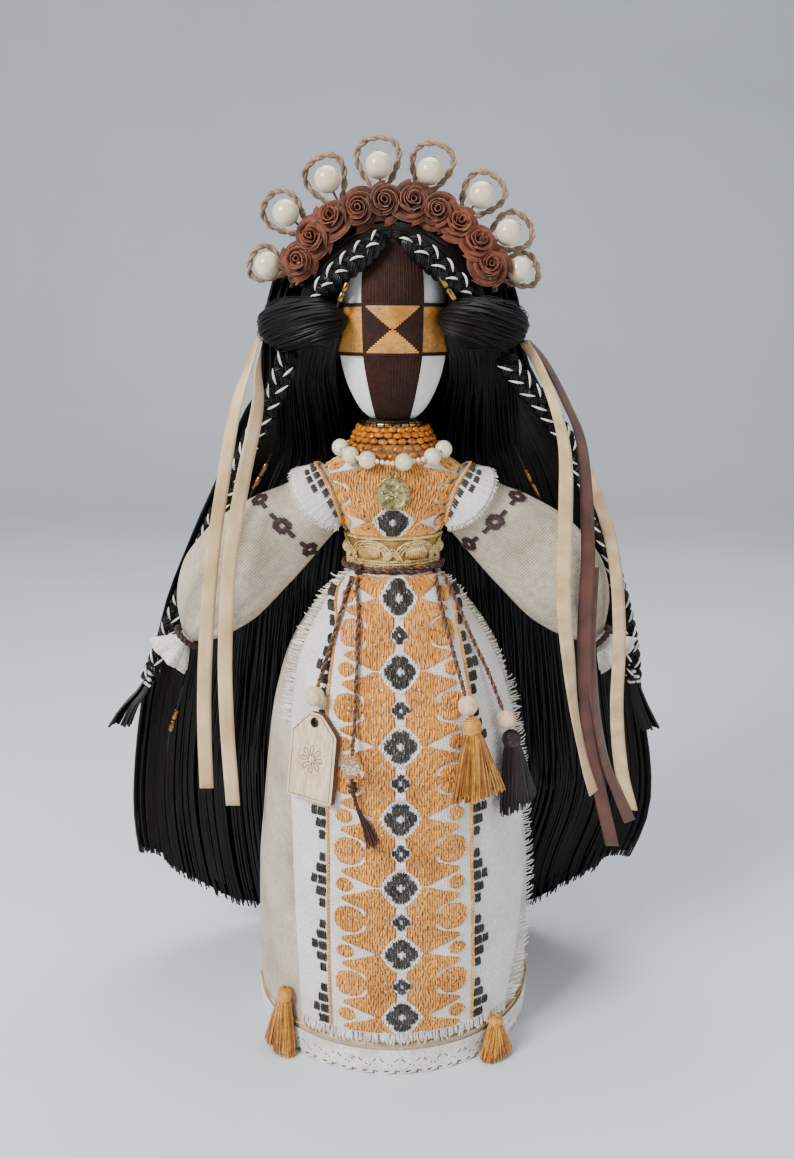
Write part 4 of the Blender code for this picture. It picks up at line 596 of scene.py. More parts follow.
# Embroidery: one woven border pattern, used on the apron and the bodice
pattern = {
    "column": 1.0, "stitch": 4.4, "radius": 0.5, "period": 28.5,
    "edges": ((23, -24, 3.5, 31.5), (100, -26, 3, 32.5), (160, -31, 3.5, 38), (184, -38, 4, 45), (196, -54, 5, 60),
              (203, -62, 5, 66)),  # height, then the borders and the middle as angles
    "apronRows": (27.7, 56.3, 84.8, 113.3, 142.3, 170, 195.3),  # heights of the large dark flowers
    "bodiceRows": (226, 248.5), "bodiceEdge": 74,
    "masses": ((0, 0.52), (0.06, 0.49), (0.13, 0.48), (0.18, 0.52), (0.215, 0.62), (0.25, 0.72), (0.3, 0.81),
               (0.345, 0.76), (0.4, 0.59), (0.46, 0.43), (0.492, 0.35)),  # the gold's reach, by height in a cell
    "flecks": ((0.37, 0.13), (0.36, 0.4), (0.25, 0.27), (0.22, 0.07), (0.6, 0.3)),
}


def patternCell(height, rows):  # how far a height lies from the small flowers, in shares of the spacing
    if height <= rows[0]:
        return (height - rows[0]) / pattern["period"] + 0.5
    for low, high in zip(rows, rows[1:]):
        if height <= high:
            return (height - low) / (high - low) - 0.5
    return (height - rows[-1]) / pattern["period"] - 0.5


def inOval(x, y, centreX, centreY, wide, tall, power=2.0):
    return abs((x - centreX) / wide) ** power + abs((y - centreY) / tall) ** power < 1


def inGold(a, t):  # a runs from 0 in the middle to 1 at the border
    a, t = abs(a), abs(t)
    if inOval(a, t, 0, 0.5, 0.27, 0.285, 1.45) or inOval(a, t, 0, 0, 0.145, 0.14, 1.5):
        return False
    if inOval(a, t, 0.71, 0, 0.2, 0.19, 2.4):  # the large oval and its five flecks
        return not (inOval(a, t, 0.71, 0.075, 0.02, 0.025) or inOval(abs(a - 0.71), t, 0.08, 0, 0.02, 0.025)
                    or inOval(a, t, 0.71, 0, 0.02, 0.02))
    if inOval(a, t, 0.71, 0, 0.245, 0.225, 2.4) and a > 0.5 and t > 0.05:
        return False
    if inOval(a, t, 0.77, 0.5, 0.115, 0.095):  # the small oval between two cells
        return not inOval(a, t, 0.77, 0.5, 0.024, 0.022)
    if any(inOval(a, t, x, y, 0.02, 0.022) for x, y in pattern["flecks"]):
        return False
    return 0.07 < a < valueAt(pattern["masses"], t) and t < 0.492


def inDark(a, t):
    a, t = abs(a), abs(t)
    lobes = inOval(a, t, 0.1, 0.5, 0.105, 0.115, 2.4) or inOval(a, t, 0, 0.395, 0.125, 0.12, 2.4)
    buds = inOval(a, t, 0, 0, 0.115, 0.07, 2.4) or inOval(a, t, 0, 0, 0.065, 0.125, 2.4)
    return (lobes and not inOval(a, t, 0, 0.5, 0.04, 0.06)) or (buds and not inOval(a, t, 0, 0, 0.022, 0.03))


def inOutline(a, t):
    a, t = abs(a), abs(t)
    ring = inOval(a, t, 0, 0.5, 0.275, 0.29, 1.45) and not inOval(a, t, 0, 0.5, 0.225, 0.25, 1.45)
    return ring or inOval(a, t, 0, 0.5, 0.022, 0.05)


# Along one stitch: share of its length, sideways sway and rise
stitchCourse = ((-0.01, -0.6, 0.1), (0.2, 0.9, 0.9), (0.5, 0.1, 1.1), (0.8, -0.9, 0.9), (1.01, 0.6, 0.1))


def satinStitches(place, inside, columns, low, high, length, rise=0.4):  # raised floats, one column after another
    made = []
    gap = columns[1] - columns[0]
    for a in columns:
        begin, limit, height = None, length * dice.uniform(0.3, 1.2), low
        while height <= high + 0.4:
            covered = height <= high and inside(a, height)
            if covered and begin is None:
                begin = height
            if begin is not None and (not covered or height - begin > limit):
                if height - begin > 0.75:
                    sway = dice.uniform(-0.34, 0.34) * gap
                    made.append([place(a + sway * k, begin + (height - begin) * share, rise * h)
                                 for share, k, h in stitchCourse])
                begin, limit = (height if covered else None), length * dice.uniform(0.7, 1.25)
            height += 0.4
    return made


def columnsAcross(width):  # evenly spaced threads from border to border, as -1 to 1
    count = round(width / 2 / pattern["column"])
    return [number / count for number in range(-count + 1, count)]


def onPattern(a, height, lift=0):
    left, middle, right = (valueAt(pattern["edges"], height, column) for column in (1, 2, 3))
    angle = middle + a * ((middle - left) if a < 0 else (right - middle))
    v = (height / skirt["height"] - apron["bottom"]) / (1 - apron["bottom"])
    edgeLeft, edgeRight = valueAt(apron["left"], v), valueAt(apron["right"], v)
    return onApron((angle - edgeLeft) / (edgeRight - edgeLeft), v, apron["thickness"] + lift)


def onBodicePattern(a, height, lift=0):
    return onBodice(pattern["bodiceEdge"] * a, (height - bodice["bottom"]) / bodice["height"], 0.25 + lift)


def inCell(test, rows, ceiling=300):  # a test of the pattern at any height of a cloth, up to a ceiling
    return lambda a, height: height < ceiling and test(a, patternCell(height, rows))


def bodiceGold(a, height):  # plain gold behind the beads, where the apron would have a flower
    return inGold(a, patternCell(height, pattern["bodiceRows"])) or (height > 239 and abs(a) < 0.3)


apronTests = [inCell(test, pattern["apronRows"]) for test in (inGold, inDark, inOutline)]
bodiceTests = [bodiceGold] + [inCell(test, pattern["bodiceRows"], 236) for test in (inDark, inOutline)]
stitchEnds = [0.6, 1, 1, 1, 0.6]
for name, place, low, high, width, tests in (
        ("apron", onPattern, 21, 202, 60, apronTests), ("bodice", onBodicePattern, 219, 253, 66, bodiceTests)):
    across = columnsAcross(width)
    between = [a + 0.5 * (across[1] - across[0]) for a in across[:-1]]
    for title, test, columns, finish, length, rise in (
            ("gold", tests[0], across, goldStitch, pattern["stitch"], 0.4),
            # the gold's darker copy between the gold columns is painted shade
            ("shade", tests[0], between, goldPaintedShade, 9, 0.0),
            ("dark", tests[1], across, darkStitch, 3.4, 0.4), ("white", tests[2], across, whiteStitch, 1.8, 0.35)):
        lines = satinStitches(place, test, columns, low, high, length, rise)
        strands(f"{name}_{title}_stitches", lines, pattern["radius"], finish, "doll", (), 0, stitchEnds)
borders = []
for a in (-1.01, 1.01):
    borders += ply([onPattern(a, 21 + step * 0.9, 0.3) for step in range(200)], 0.4, 3.2)
for a in (-1, 1):
    borders += ply([onBodicePattern(a, 221 + step * 0.6, 0.3) for step in range(52)], 0.4, 3.2)
strands("gold_border_braid", borders, 0.45, goldStitch, "doll", (), 0)
blocks = []  # dark squares outside each border, stepped out and back beside every large flower
for row in pattern["apronRows"]:
    for step, begin, end in ((-2, 1.07, 1.12), (-1, 1.06, 1.18), (0, 1.06, 1.15), (0, 1.2, 1.27), (1, 1.06, 1.18),
                             (2, 1.07, 1.12)):
        middle = row + 0.168 * pattern["period"] * step
        if 22 < middle < 198:
            for side in (-1, 1):
                columns = [side * (begin + 0.03 * k) for k in range(round((end - begin) / 0.03) + 1)]
                blocks += satinStitches(onPattern, lambda a, z: abs(z - middle) < 1.85, columns, middle - 2,
                                        middle + 2, 5)
strands("apron_dark_blocks", blocks, pattern["radius"], darkStitch, "doll", (), 0, stitchEnds)

fringes = {"right": (230, 7.0, 0.3), "left": (90, 6.0, 0.3), "bottom": (100, 4.6, 0.42)}  # threads, reach, radius
for edge, (count, reach, radius) in fringes.items():  # threads that have come loose along the cut edges
    loose = []
    for number in range(count):
        share = (number + dice.random()) / count
        u, v = {"right": (1, share), "left": (0, 0.68 + 0.32 * share), "bottom": (share, 0)}[edge]
        begin = onApron(u, v, 0.5)
        out = Vector((begin.x, begin.y, 0)).normalized()
        ahead = -up if edge == "bottom" else up.cross(out) * (1 if edge == "right" else -1)
        far = reach * dice.uniform(0.6, 1.1) * (0.6 if edge == "right" and v > 0.75 else 1)
        proud = 0.6 if edge == "bottom" else 0.45 * far
        curl = dice.uniform(-0.35, 0.55)
        across = up if edge != "bottom" else up.cross(out)
        loose.append([begin - ahead * 1.2 + out * 0.25,
                      begin + ahead * (far * 0.35) + across * (0.1 * curl) + out * 0.4,
                      begin + ahead * (far * 0.75) + across * (far * 0.25 * curl) + out * (0.3 + proud * 0.7),
                      begin + ahead * far + across * (far * 0.5 * curl) + out * proud])
    strands(f"apron_{edge}_fringe", loose, radius, crochetCotton, "doll", (), 0, [1, 1, 0.9, 0.6])


# Bodice, waist and belt
def bodicePlace(u, v):
    fold = 0.35 * math.sin(math.radians(360 * u * 9)) * math.sin(math.pi * v)
    return onBodice(360 * u - 180, v, fold)


bodiceMesh = clothGrid(96, 44, bodicePlace, (170, 52))
bodicePiece = finishMesh("woven_bodice", closeEnds(bodiceMesh), homespun, "doll", ["bodice"])
for side in (-1, 1):  # the armholes, cut as the frame's are
    cutter = bmesh.new()
    bmesh.ops.create_uvsphere(cutter, u_segments=32, v_segments=20, radius=14.2 * mm,
                              matrix=Matrix.Translation(armFrame(side)[0] * mm))
    cutAway(bodicePiece, cutter)


def trimPlace(u, v):
    return onBodice(360 * u - 180, v * 0.273, 0.3)


# The trim's ground, darkened as painted shade beneath the raised cords.
finishMesh("waist_trim", clothGrid(120, 6, trimPlace, (110, 14)), trimPaintedShade, "doll", ["waist_braid"], 0.9, 1,
           facing=outFromAxis)


def onTrim(angle, height, lift=0):
    return onBodice(angle, (height - bodice["bottom"]) / bodice["height"], 1.2 + lift)


trimCords, medallions = [], []
for height in (207.2, 208.4, 209.6, 219.2):
    trimCords += ply([onTrim(angle, height, 0.45) for angle in range(0, 361, 3)], 0.36, 2.4)
for number in range(6):
    middle = 30 + 60 * number
    for ring in range(3):  # arcs over each medallion, and loops between them
        arc = [onTrim(middle + (20 + 3.4 * ring) * math.cos(math.pi * step / 16),
                      212.2 + (3.7 + 1.1 * ring) * math.sin(math.pi * step / 16), 0.7) for step in range(17)]
        loop = [onTrim(middle + 30 + (11 - 2.4 * ring) * (step / 8 - 1), 210.4 + (4.6 - 1.2 * ring)
                       * (1 - abs(step / 8 - 1) ** 1.6), 0.95) for step in range(17)]
        trimCords += ply(arc, 0.3, 2.0) + ply(loop, 0.3, 2.0)
    for rib in range(-5, 6):
        tall = 2.5 * math.sqrt(1 - (rib / 6) ** 2)
        dome = 1.3 * (1 - (rib / 7) ** 2)
        medallions.append([onTrim(middle + 2.6 * rib, 213.2 + tall * (step / 3 - 1),
                                  0.5 + dome * (1 - (step / 3 - 1) ** 2)) for step in range(7)])
strands("trim_cords", trimCords, 0.36, trimGold, "doll", (), 0)
strands("trim_medallions", medallions, 0.62, trimGold, "doll", (), 0, [0.5, 0.85, 1, 1, 1, 0.85, 0.5])


def beltPoint(angle, lift=0):
    spot = onBodice(angle, 0, 3 + lift)
    return Vector((spot.x, spot.y, 206.3))


beltRoute = [beltPoint(angle) for angle in range(0, 361, 3)]
beltPairs = [ply(cord, 0.42, 3.8) for cord in ply(beltRoute, 0.85, 52, 3)]
beltPlies = [pair[half] for half in (0, 1) for pair in beltPairs]
twoTone(strands("belt_cords", beltPlies, 0.5, cordBrown, "doll", ["belt_cord"], 1), cordTan)


def knot(centre, size, out):  # a small overhand knot
    side = up.cross(out).normalized()
    line = []
    for step in range(61):
        t = math.tau * step / 60
        line.append(centre + side * (size * (math.sin(t) + 1.1 * math.sin(2 * t)) / 2)
                    + up * (size * (math.cos(t) - 1.1 * math.cos(2 * t)) / 2) + out * (size * 0.42 * math.sin(3 * t)))
    return line


beltKnots = [knot(beltPoint(angle, 0.9), 1.9, radial(angle, 1, 0)) for angle in (-41.5, 55)]
strands("belt_knots", beltKnots, 0.85, cordBrown, "doll", (), 2)


# Arms
cuff = {"length": 13.5, "neck": 3.0, "mouth": 9.9, "frills": 7}
wing = {
    "ribs": 36,  # then turn about the arm, and the cloth's two edges as shares of the arm's length
    "edges": ((-70, -0.09, -0.02), (0, -0.085, 0.02), (40, -0.085, 0.06), (60, -0.08, 0.082), (88, -0.055, 0.097),
              (115, -0.01, 0.085), (138, 0.03, 0.048)),
}


def sleeveFold(share, turn):
    angle = math.radians(turn)
    gather = share ** 3 * (1 - share) * 6
    pleat = gather * (1.1 * math.cos(7 * angle) + 0.55 * math.cos(17 * angle + 2))
    return pleat + 0.55 * math.sin(9 * share + 2.2 * math.sin(angle)) * math.sin(math.pi * share)


def onWing(side, turn, v, lift=0):
    near, far = valueAt(wing["edges"], turn, 1), valueAt(wing["edges"], turn, 2)
    share = near + (far - near) * v
    rib = 0.16 * math.sin(math.radians(turn) * wing["ribs"]) * v
    slip = armFrame(side)[1] * (arm["length"] * min(share, 0))
    return onArm(side, max(share, 0), turn, 1.1 + 2.2 * v * v + rib + lift + 26 * min(share, 0)) + slip


def inCross(w, u):  # w along the arm, u round it, in mm
    block = max(abs(w), abs(u)) < 3.3 and abs(w) + abs(u) < 5.2 and w * w + u * u > 1.1
    return block or (abs(w) < 1.2 and 3 < abs(u) < 7)


for side in (-1, 1):
    name = "left" if side < 0 else "right"
    body = f"{name}_arm"
    start, along, rise = armFrame(side)

    def sleevePlace(u, v):
        turn = 360 * u
        angle = math.radians(turn)
        if v < 0.16:  # the ball in the armhole
            lean = math.radians(90 * v / 0.16)
            ring = arm["ball"] * math.sin(lean)
            return (start - along * (arm["ball"] * math.cos(lean)) + rise * (ring * math.cos(angle))
                    + front * (ring * math.sin(angle)))
        share = (v - 0.16) / 0.84
        return onArm(side, share, turn, sleeveFold(share, turn))

    sleeve = finishMesh(f"{name}_linen_sleeve", closeEnds(clothGrid(84, 70, sleevePlace, (110, 90))), linen, body,
                        [f"{name}_sleeve"])
    crosses = []
    for number in range(6):  # a ring of counted crosses
        share, turn = (0.234, 83 + 60 * number) if side < 0 else (0.19, 86 + 60 * number)
        turn = turn % 360

        def onCross(w, u, lift=0):
            here, around = share + w / arm["length"], turn + 3.4 * u
            return onArm(side, here, around, sleeveFold(here, around) + 0.15 + lift)

        crosses += satinStitches(onCross, inCross, [0.62 * k for k in range(-5, 6)], -7.2, 7.2, 3.4, 0.3)
    strands(f"{name}_sleeve_crosses", crosses, 0.42, brownStitch, body, (), 0, stitchEnds)

    tieCentre = start + along * (arm["length"] + 1.8)
    ring = []
    for step in range(49):
        angle = math.tau * step / 48
        ring.append(tieCentre + rise * (5.55 * math.cos(angle)) - front * (5.55 * math.sin(angle)))
    strands(f"{name}_tie", ply(ring, 0.62, 4.4), 0.85, cordBrown, body, [f"{name}_wrist_tie"], 2)

    cuffStart = tieCentre - along * 1.35

    def cuffPlace(u, v):
        angle = -side * math.tau * u
        frill = v * v * (math.cos(cuff["frills"] * angle) + 0.25 * math.sin(19 * angle))
        flare = (cuff["mouth"] - cuff["neck"]) * (max(v - 0.28, 0) / 0.72) ** 0.85
        wide, deep = cuff["neck"] + flare + frill, cuff["neck"] + 0.62 * flare + frill
        return (cuffStart + along * (cuff["length"] * v) + rise * (wide * math.cos(angle))
                + front * (deep * math.sin(angle)))

    finishMesh(f"{name}_frilled_cuff", clothGrid(112, 16, cuffPlace, (60, 14)), crochetCotton, body, [f"{name}_cuff"],
               0.55, 1, facing=lambda spot: spot - cuffStart - along * (spot - cuffStart).dot(along))

    def wingPlace(u, v):
        return onWing(side, -70 + 208 * (u if side > 0 else 1 - u), v)

    finishMesh(f"{name}_ribbed_wing", clothGrid(180, 12, wingPlace, (60, 16)), homespun, "doll",
               [f"{name}_shoulder_wing"], 0.8, 1,
               facing=lambda spot: spot - start - along * (spot - start).dot(along))
    squares, ends = [], []
    for turn, low, high in ((14, 0.1, 0.26), (31, 0.1, 0.28), (31, 0.36, 0.5), (48, 0.1, 0.28), (48, 0.36, 0.52),
                            (65, 0.1, 0.28), (65, 0.36, 0.5), (82, 0.1, 0.28), (99, 0.1, 0.3), (116, 0.1, 0.3)):
        for offset in (-4, 0, 4):
            squares.append([onWing(side, turn + offset, low + (high - low) * k / 4, 0.8 + lift)
                            for k, lift in enumerate((0.1, 0.4, 0.45, 0.4, 0.1))])
    strands(f"{name}_wing_squares", squares, 0.62, darkStitch, "doll", (), 0, stitchEnds)
    seam = [onWing(side, turn, 0.03, 1.1) for turn in range(10, 137, 3)]
    strands(f"{name}_wing_border", ply(seam, 0.4, 3.2), 0.45, goldStitch, "doll", (), 0)
    for number in range(130):
        turn = -68 + 204 * (number + dice.random()) / 130
        begin, inner = onWing(side, turn, 1, 0.4), onWing(side, turn, 0.9, 0.4)
        ahead = (begin - inner).normalized()
        ends.append([inner, begin, begin + ahead * dice.uniform(0.6, 1.7) - up * dice.uniform(0, 0.5)])
    strands(f"{name}_wing_fringe", ends, 0.2, crochetCotton, "doll", (), 0, [1, 0.9, 0.6])
print("dress made")


# Head and face
def headPlace(u, v):
    return radial(360 * u, head["radius"] * valueAt(head["shares"], v) * (v < 1), head["bottom"] + head["height"] * v)


finishMesh("wound_head", closeEnds(clothGrid(72, 60, headPlace)), faceCotton, "doll", ["head"])
neckRoute = []
for step in range(260):
    share = step / 259
    radius = 10.9 - (1.6 if share > 0.9 else 0) * (share - 0.9) / 0.1
    neckRoute.append(radial(360 * 11 * share, radius - 0.35, 256.7 + 10.3 * share))
strands("neck_thread", [neckRoute], 0.62, neckThread, "doll", ["neck_winding"])
neckCore = [(0, 267), (9.4, 267), (10.6, 265.6), (10.6, 256.4), (0, 256.4)]


def corePlace(u, v):
    radius, height = neckCore[round(v * 4)]
    return radial(360 * u, radius, height)


finishMesh("neck_core", clothGrid(32, 4, corePlace), neckThread, "doll")
face = {
    "halfWidth": 11.3, "threads": 34,
    "shares": ((0.0, 0.55), (0.12, 0.74), (0.30, 0.95), (0.45, 1), (0.70, 1), (0.93, 0.72), (0.98, 0.5)),
    "goldLow": 294, "goldHigh": 312, "goldThreads": 23,
}


def bandHeight(number):  # of one thread in the gold band
    return face["goldLow"] + 0.4 + (face["goldHigh"] - face["goldLow"] - 0.8) * number / 22


threads = []
for number in range(face["threads"] + 1):
    across = 2 * number / face["threads"] - 1
    line = []
    for step in range(33):
        share = 0.004 + 0.966 * step / 32
        height = head["bottom"] + head["height"] * share
        half = face["halfWidth"] * valueAt(face["shares"], share)
        angle = math.degrees(math.asin(min(half / headRadius(height), 0.82))) * across
        line.append(onHead(angle, height, 0.5 + 0.12 * (number % 2)))
    threads.append(line)
strands("face_brown_threads", threads, 0.52, brownWinding, "doll", ["face_band_brown"])
heights = [bandHeight(number) for number in range(face["goldThreads"])]
threads = [[onHead(angle, height, 0.55) for angle in range(28, 333, 4)] for height in heights]
strands("face_gold_threads", threads, 0.5, goldWinding, "doll", ["face_band_gold"])
threads = []
for number, height in enumerate(heights):  # the stepped hourglass where gold crosses brown
    half = 1.2 + 2.24 * abs(number - 11)
    threads.append([onHead(half * (2 * step / 10 - 1), height, 1.2) for step in range(11)])
strands("face_hourglass", threads, 0.48, goldWinding, "doll")
# Brown shows again at each side of the gold triangles
lines = [[onHead(30.5 * (step / 8 - 1), height, 0.8) for step in range(17)] for height in heights]
strands("face_brown_square", lines, 0.46, brownWinding, "doll")
lines = [[onHead(angle, height, 0.95) for angle in range(-100, 101, 4)] for height in (293.2, 293.9, 312.1, 312.8)]
strands("face_edge_threads", lines, 0.42, brownWinding, "doll")
print("head made")

# Hair
hair = {
    "top": 342, "thickness": 7.5, "halfWidth": 115, "depth": 66, "middleBottom": 4, "edgeBottom": 56,
    "yarn": 0.46, "layers": (0.6, 3.4, 6.9), "perLayer": (400, 230, 400),
    "shares": (
        (0, 0.97, 0.88, 0.41, 1), (0.10, 1.05, 0.94, 0.40, 1), (0.23, 1.087, 1.07, 0.38, 1),
        (0.386, 1.026, 1.017, 0.365, 0.90), (0.462, 0.957, 0.974, 0.36, 0.81), (0.533, 0.896, 0.913, 0.356, 0.66),
        (0.615, 0.791, 0.835, 0.32, 0.55), (0.695, 0.67, 0.748, 0.245, 0.53), (0.77, 0.565, 0.617, 0.152, 0.545),
        (0.80, 0.50, 0.557, 0.13, 0.555), (0.846, 0.48, 0.487, 0.121, 0.56), (0.876, 0.475, 0.475, 0.121, 0.565),
        (0.92, 0.45, 0.45, 0.129, 0.57), (0.953, 0.415, 0.415, 0.136, 0.53), (0.976, 0.355, 0.355, 0.136, 0.465),
        (1, 0.265, 0.265, 0.136, 0.335)),
}


def curtainPoint(u, v):
    swing = 1 - 2 * u
    turn = math.radians(90 * swing)
    bottom = hair["middleBottom"] + (hair["edgeBottom"] - hair["middleBottom"]) * abs(math.sin(turn)) ** 5
    height = bottom + (hair["top"] - bottom) * v
    share = (height - hair["middleBottom"]) / (hair["top"] - hair["middleBottom"])
    wide = hair["halfWidth"] * valueAt(hair["shares"], share, 1 if swing < 0 else 2) - hair["thickness"]
    near = hair["depth"] * valueAt(hair["shares"], share, 3)
    far = hair["depth"] * valueAt(hair["shares"], share, 4)
    belly = max(math.cos(turn), 0) ** (1.6 if share < 0.62 else 1.6 - 0.6 * min((share - 0.62) / 0.2, 1))
    lock = 0.8 * (1 + math.cos(math.pi * 9 * swing)) * (1 - v)
    return Vector((wide * math.sin(turn), near + (far - near) * belly + lock, height))


def onCurtain(u, v, depth):  # depth is measured outwards from the curtain's inner side
    here = curtainPoint(u, v)
    across = curtainPoint(min(u + 0.004, 1), v) - curtainPoint(max(u - 0.004, 0), v)
    along = curtainPoint(u, min(v + 0.01, 1)) - curtainPoint(u, max(v - 0.01, 0))
    out = along.cross(across).normalized()
    if out.dot(Vector((here.x, here.y + 10, 0))) < 0:
        out = -out
    return here + out * depth


# A sheet under the strands, darker than the yarn: painted shade inside the hair.
backing = clothGrid(80, 60, lambda u, v: onCurtain(0.012 + 0.976 * u, 0.01 + 0.98 * v, 2.2))
finishMesh("hair_backing", backing, shadedYarnUnder, "doll", ["hair_curtain"], 3.2, 1,
           facing=lambda spot: Vector((spot.x, spot.y + 10, 0)))
for layer, depth in enumerate(hair["layers"]):
    lines = []
    for number in range(hair["perLayer"][layer]):
        u = (number + dice.random()) / hair["perLayer"][layer]
        phase, drift, cut = dice.random() * math.tau, 0.006 * (dice.random() - 0.5), 0.05 * dice.random() ** 2
        deep = depth + dice.uniform(-0.35, 0.35)
        line = []
        for step in range(31):
            v = 1 - (1 - cut) * step / 30
            bend = drift * (1 - v) * 4 + 0.0018 * math.sin(phase + 9 * v) * (1 - v)
            wave = 0.3 * math.sin(phase * 2 + 17 * v)
            line.append(onCurtain(min(max(u + bend, 0.001), 0.999), v, deep + wave))
        if layer == 2 and 0.08 < u < 0.92:  # the outer yarns come over the back of the head
            top = line[0]
            for share in (0.75, 0.5, 0.25, 0.02):
                spot = Vector((top.x * share, 6 + (top.y - 6) * share, 0))
                inside = max(1 - (spot.x / 41.5) ** 2 - ((spot.y - 6) / 35) ** 2, 0)
                line.insert(0, Vector((spot.x, spot.y + 3 * (1 - share), crownHeight + 38.6 * math.sqrt(inside))))
        lines.append(line)
    strands(f"hair_layer_{layer + 1}", lines, hair["yarn"], yarn, "doll", (), 0)


def onCap(direction, lift=0):
    return Vector(((37.8 + lift) * direction.x, 6 + (30 + lift) * direction.y,
                   crownHeight + (37.6 + lift) * direction.z))


def clearOfHead(spot, gap):  # pushed out to where it lies on the head
    wide = math.hypot(spot.x, spot.y)
    least = (headRadius(spot.z) if spot.z < head["bottom"] + head["height"] - 0.5 else 0) + gap
    return spot if wide > least or wide < 0.01 else Vector((spot.x * least / wide, spot.y * least / wide, spot.z))


lines = []
for side in (-1, 1):
    for layer in range(2):
        for number in range(190):
            rise = math.radians(50 + 130 * (number + dice.random()) / 190)
            begin = Vector((side * 0.012, -math.cos(rise), math.sin(rise))).normalized()
            end = Vector((side * 0.97, -math.cos(rise) * 0.5, -0.14 if number < 60 else -0.4)).normalized()
            lift, phase = 0.7 * layer + dice.uniform(-0.3, 0.3) - 0.5, dice.random() * math.tau
            line = []
            for step in range(17):
                spot = onCap(begin.slerp(end, step / 16), lift + 0.15 * math.sin(phase + step))
                line.append(clearOfHead(spot, 1.6 + lift))
            lines.append(line)
strands("combed_cap", lines, 0.42, yarn, "doll", ["hair_cap"], 0)
lines = []
for side in (-1, 1):  # hair that falls behind the shoulders from under each temple roll
    for number in range(150):
        k, phase = (number + dice.random()) / 150, dice.random() * math.tau
        u = 0.5 - side * (0.085 + 0.2 * k)
        points = vectors(((side * (21 + 24 * k), -13 + 14 * k, 300), (side * (24 + 27 * k), 3 + 9 * k, 284)))
        heights = (0.76 - 0.05 * dice.random(), 0.66, 0.52, 0.4 - 0.2 * dice.random())
        points += [onCurtain(u, v, 0.2) for v in heights]
        line = smoothRoute(points, 19)
        lines.append([spot + Vector((0.5 * math.sin(phase + 0.7 * step), 0.4 * math.cos(phase + 0.9 * step), 0))
                      for step, spot in enumerate(line)])
strands("falling_hair", lines, 0.44, yarn, "doll", (), 0)


def capPlace(u, v):
    turn = math.radians(38 + 284 * u)
    lean = math.radians((128 - 36 * min(max(math.cos(turn) + 0.2, 0) / 0.9, 1)) * (1 - v))
    return onCap(Vector((math.sin(lean) * math.sin(turn), -math.sin(lean) * math.cos(turn), math.cos(lean))), -1.6)


# A sheet under the cap's strands, darker than the yarn: painted shade.
finishMesh("cap_backing", clothGrid(48, 24, capPlace), shadedYarnUnder, "doll", (), 1.0, 0)


def temper(shares, count):  # a table of shares spread over a count of points
    table = [(index / (len(shares) - 1), value) for index, value in enumerate(shares)]
    return [valueAt(table, index / (count - 1)) for index in range(count)]


def laceUp(route, width, depth, pitch, out, share):  # lens-shaped white stitches, one row on each side
    made = []
    steps = travel(route, out)
    length = steps[-1][3]
    for row in (-1, 1):
        walk = pitch * (0.45 if row < 0 else 0.95)
        while walk < length - pitch * 0.45:
            index = min(range(len(steps)), key=lambda i: abs(steps[i][3] - walk))
            point, side, lift, walked = steps[index]
            reach = share[index]
            middle = point + side * (row * 0.42 * width * reach)
            lean = (side.cross(lift) * 0.85 - side * (row * 0.55 * dice.uniform(0.7, 1.2))).normalized()
            long = dice.uniform(5.0, 7.0) * (0.55 + 0.45 * reach)
            made.append([middle + lean * (long * t) + lift * (depth * reach * (1.12 - 1.3 * t * t))
                         for t in (-0.5, -0.3, -0.1, 0.1, 0.3, 0.5)])
            walk += pitch * dice.uniform(0.92, 1.08)
    return made, [0.25, 0.8, 1, 1, 0.8, 0.25]


def makePlait(name, route, radius, pitch, body, nodes, out, share):
    locks = plait(route, radius * 0.5, radius * 0.30, pitch, out, share)
    lines, cores = [], []
    for number, lock in enumerate(locks):
        for ring, count in ((0.34, 13), (0.22, 7)):
            lines += ply(lock, radius * ring, pitch * 2.6, count, number / 5, None, share)
        cores.append(lock)
    strands(name, lines, 0.40, yarn, body, nodes, 0)
    # the cores inside the plait, darker than the yarn: painted shade
    strands(f"{name}_core", cores, radius * 0.26, shadedYarnUnder, body, (), 1)
    stitches, widths = laceUp(route, radius, radius * 0.8, 7.2, out, share)
    strands(f"{name}_lacing", stitches, 0.48, lacing, body, (), 1, widths)


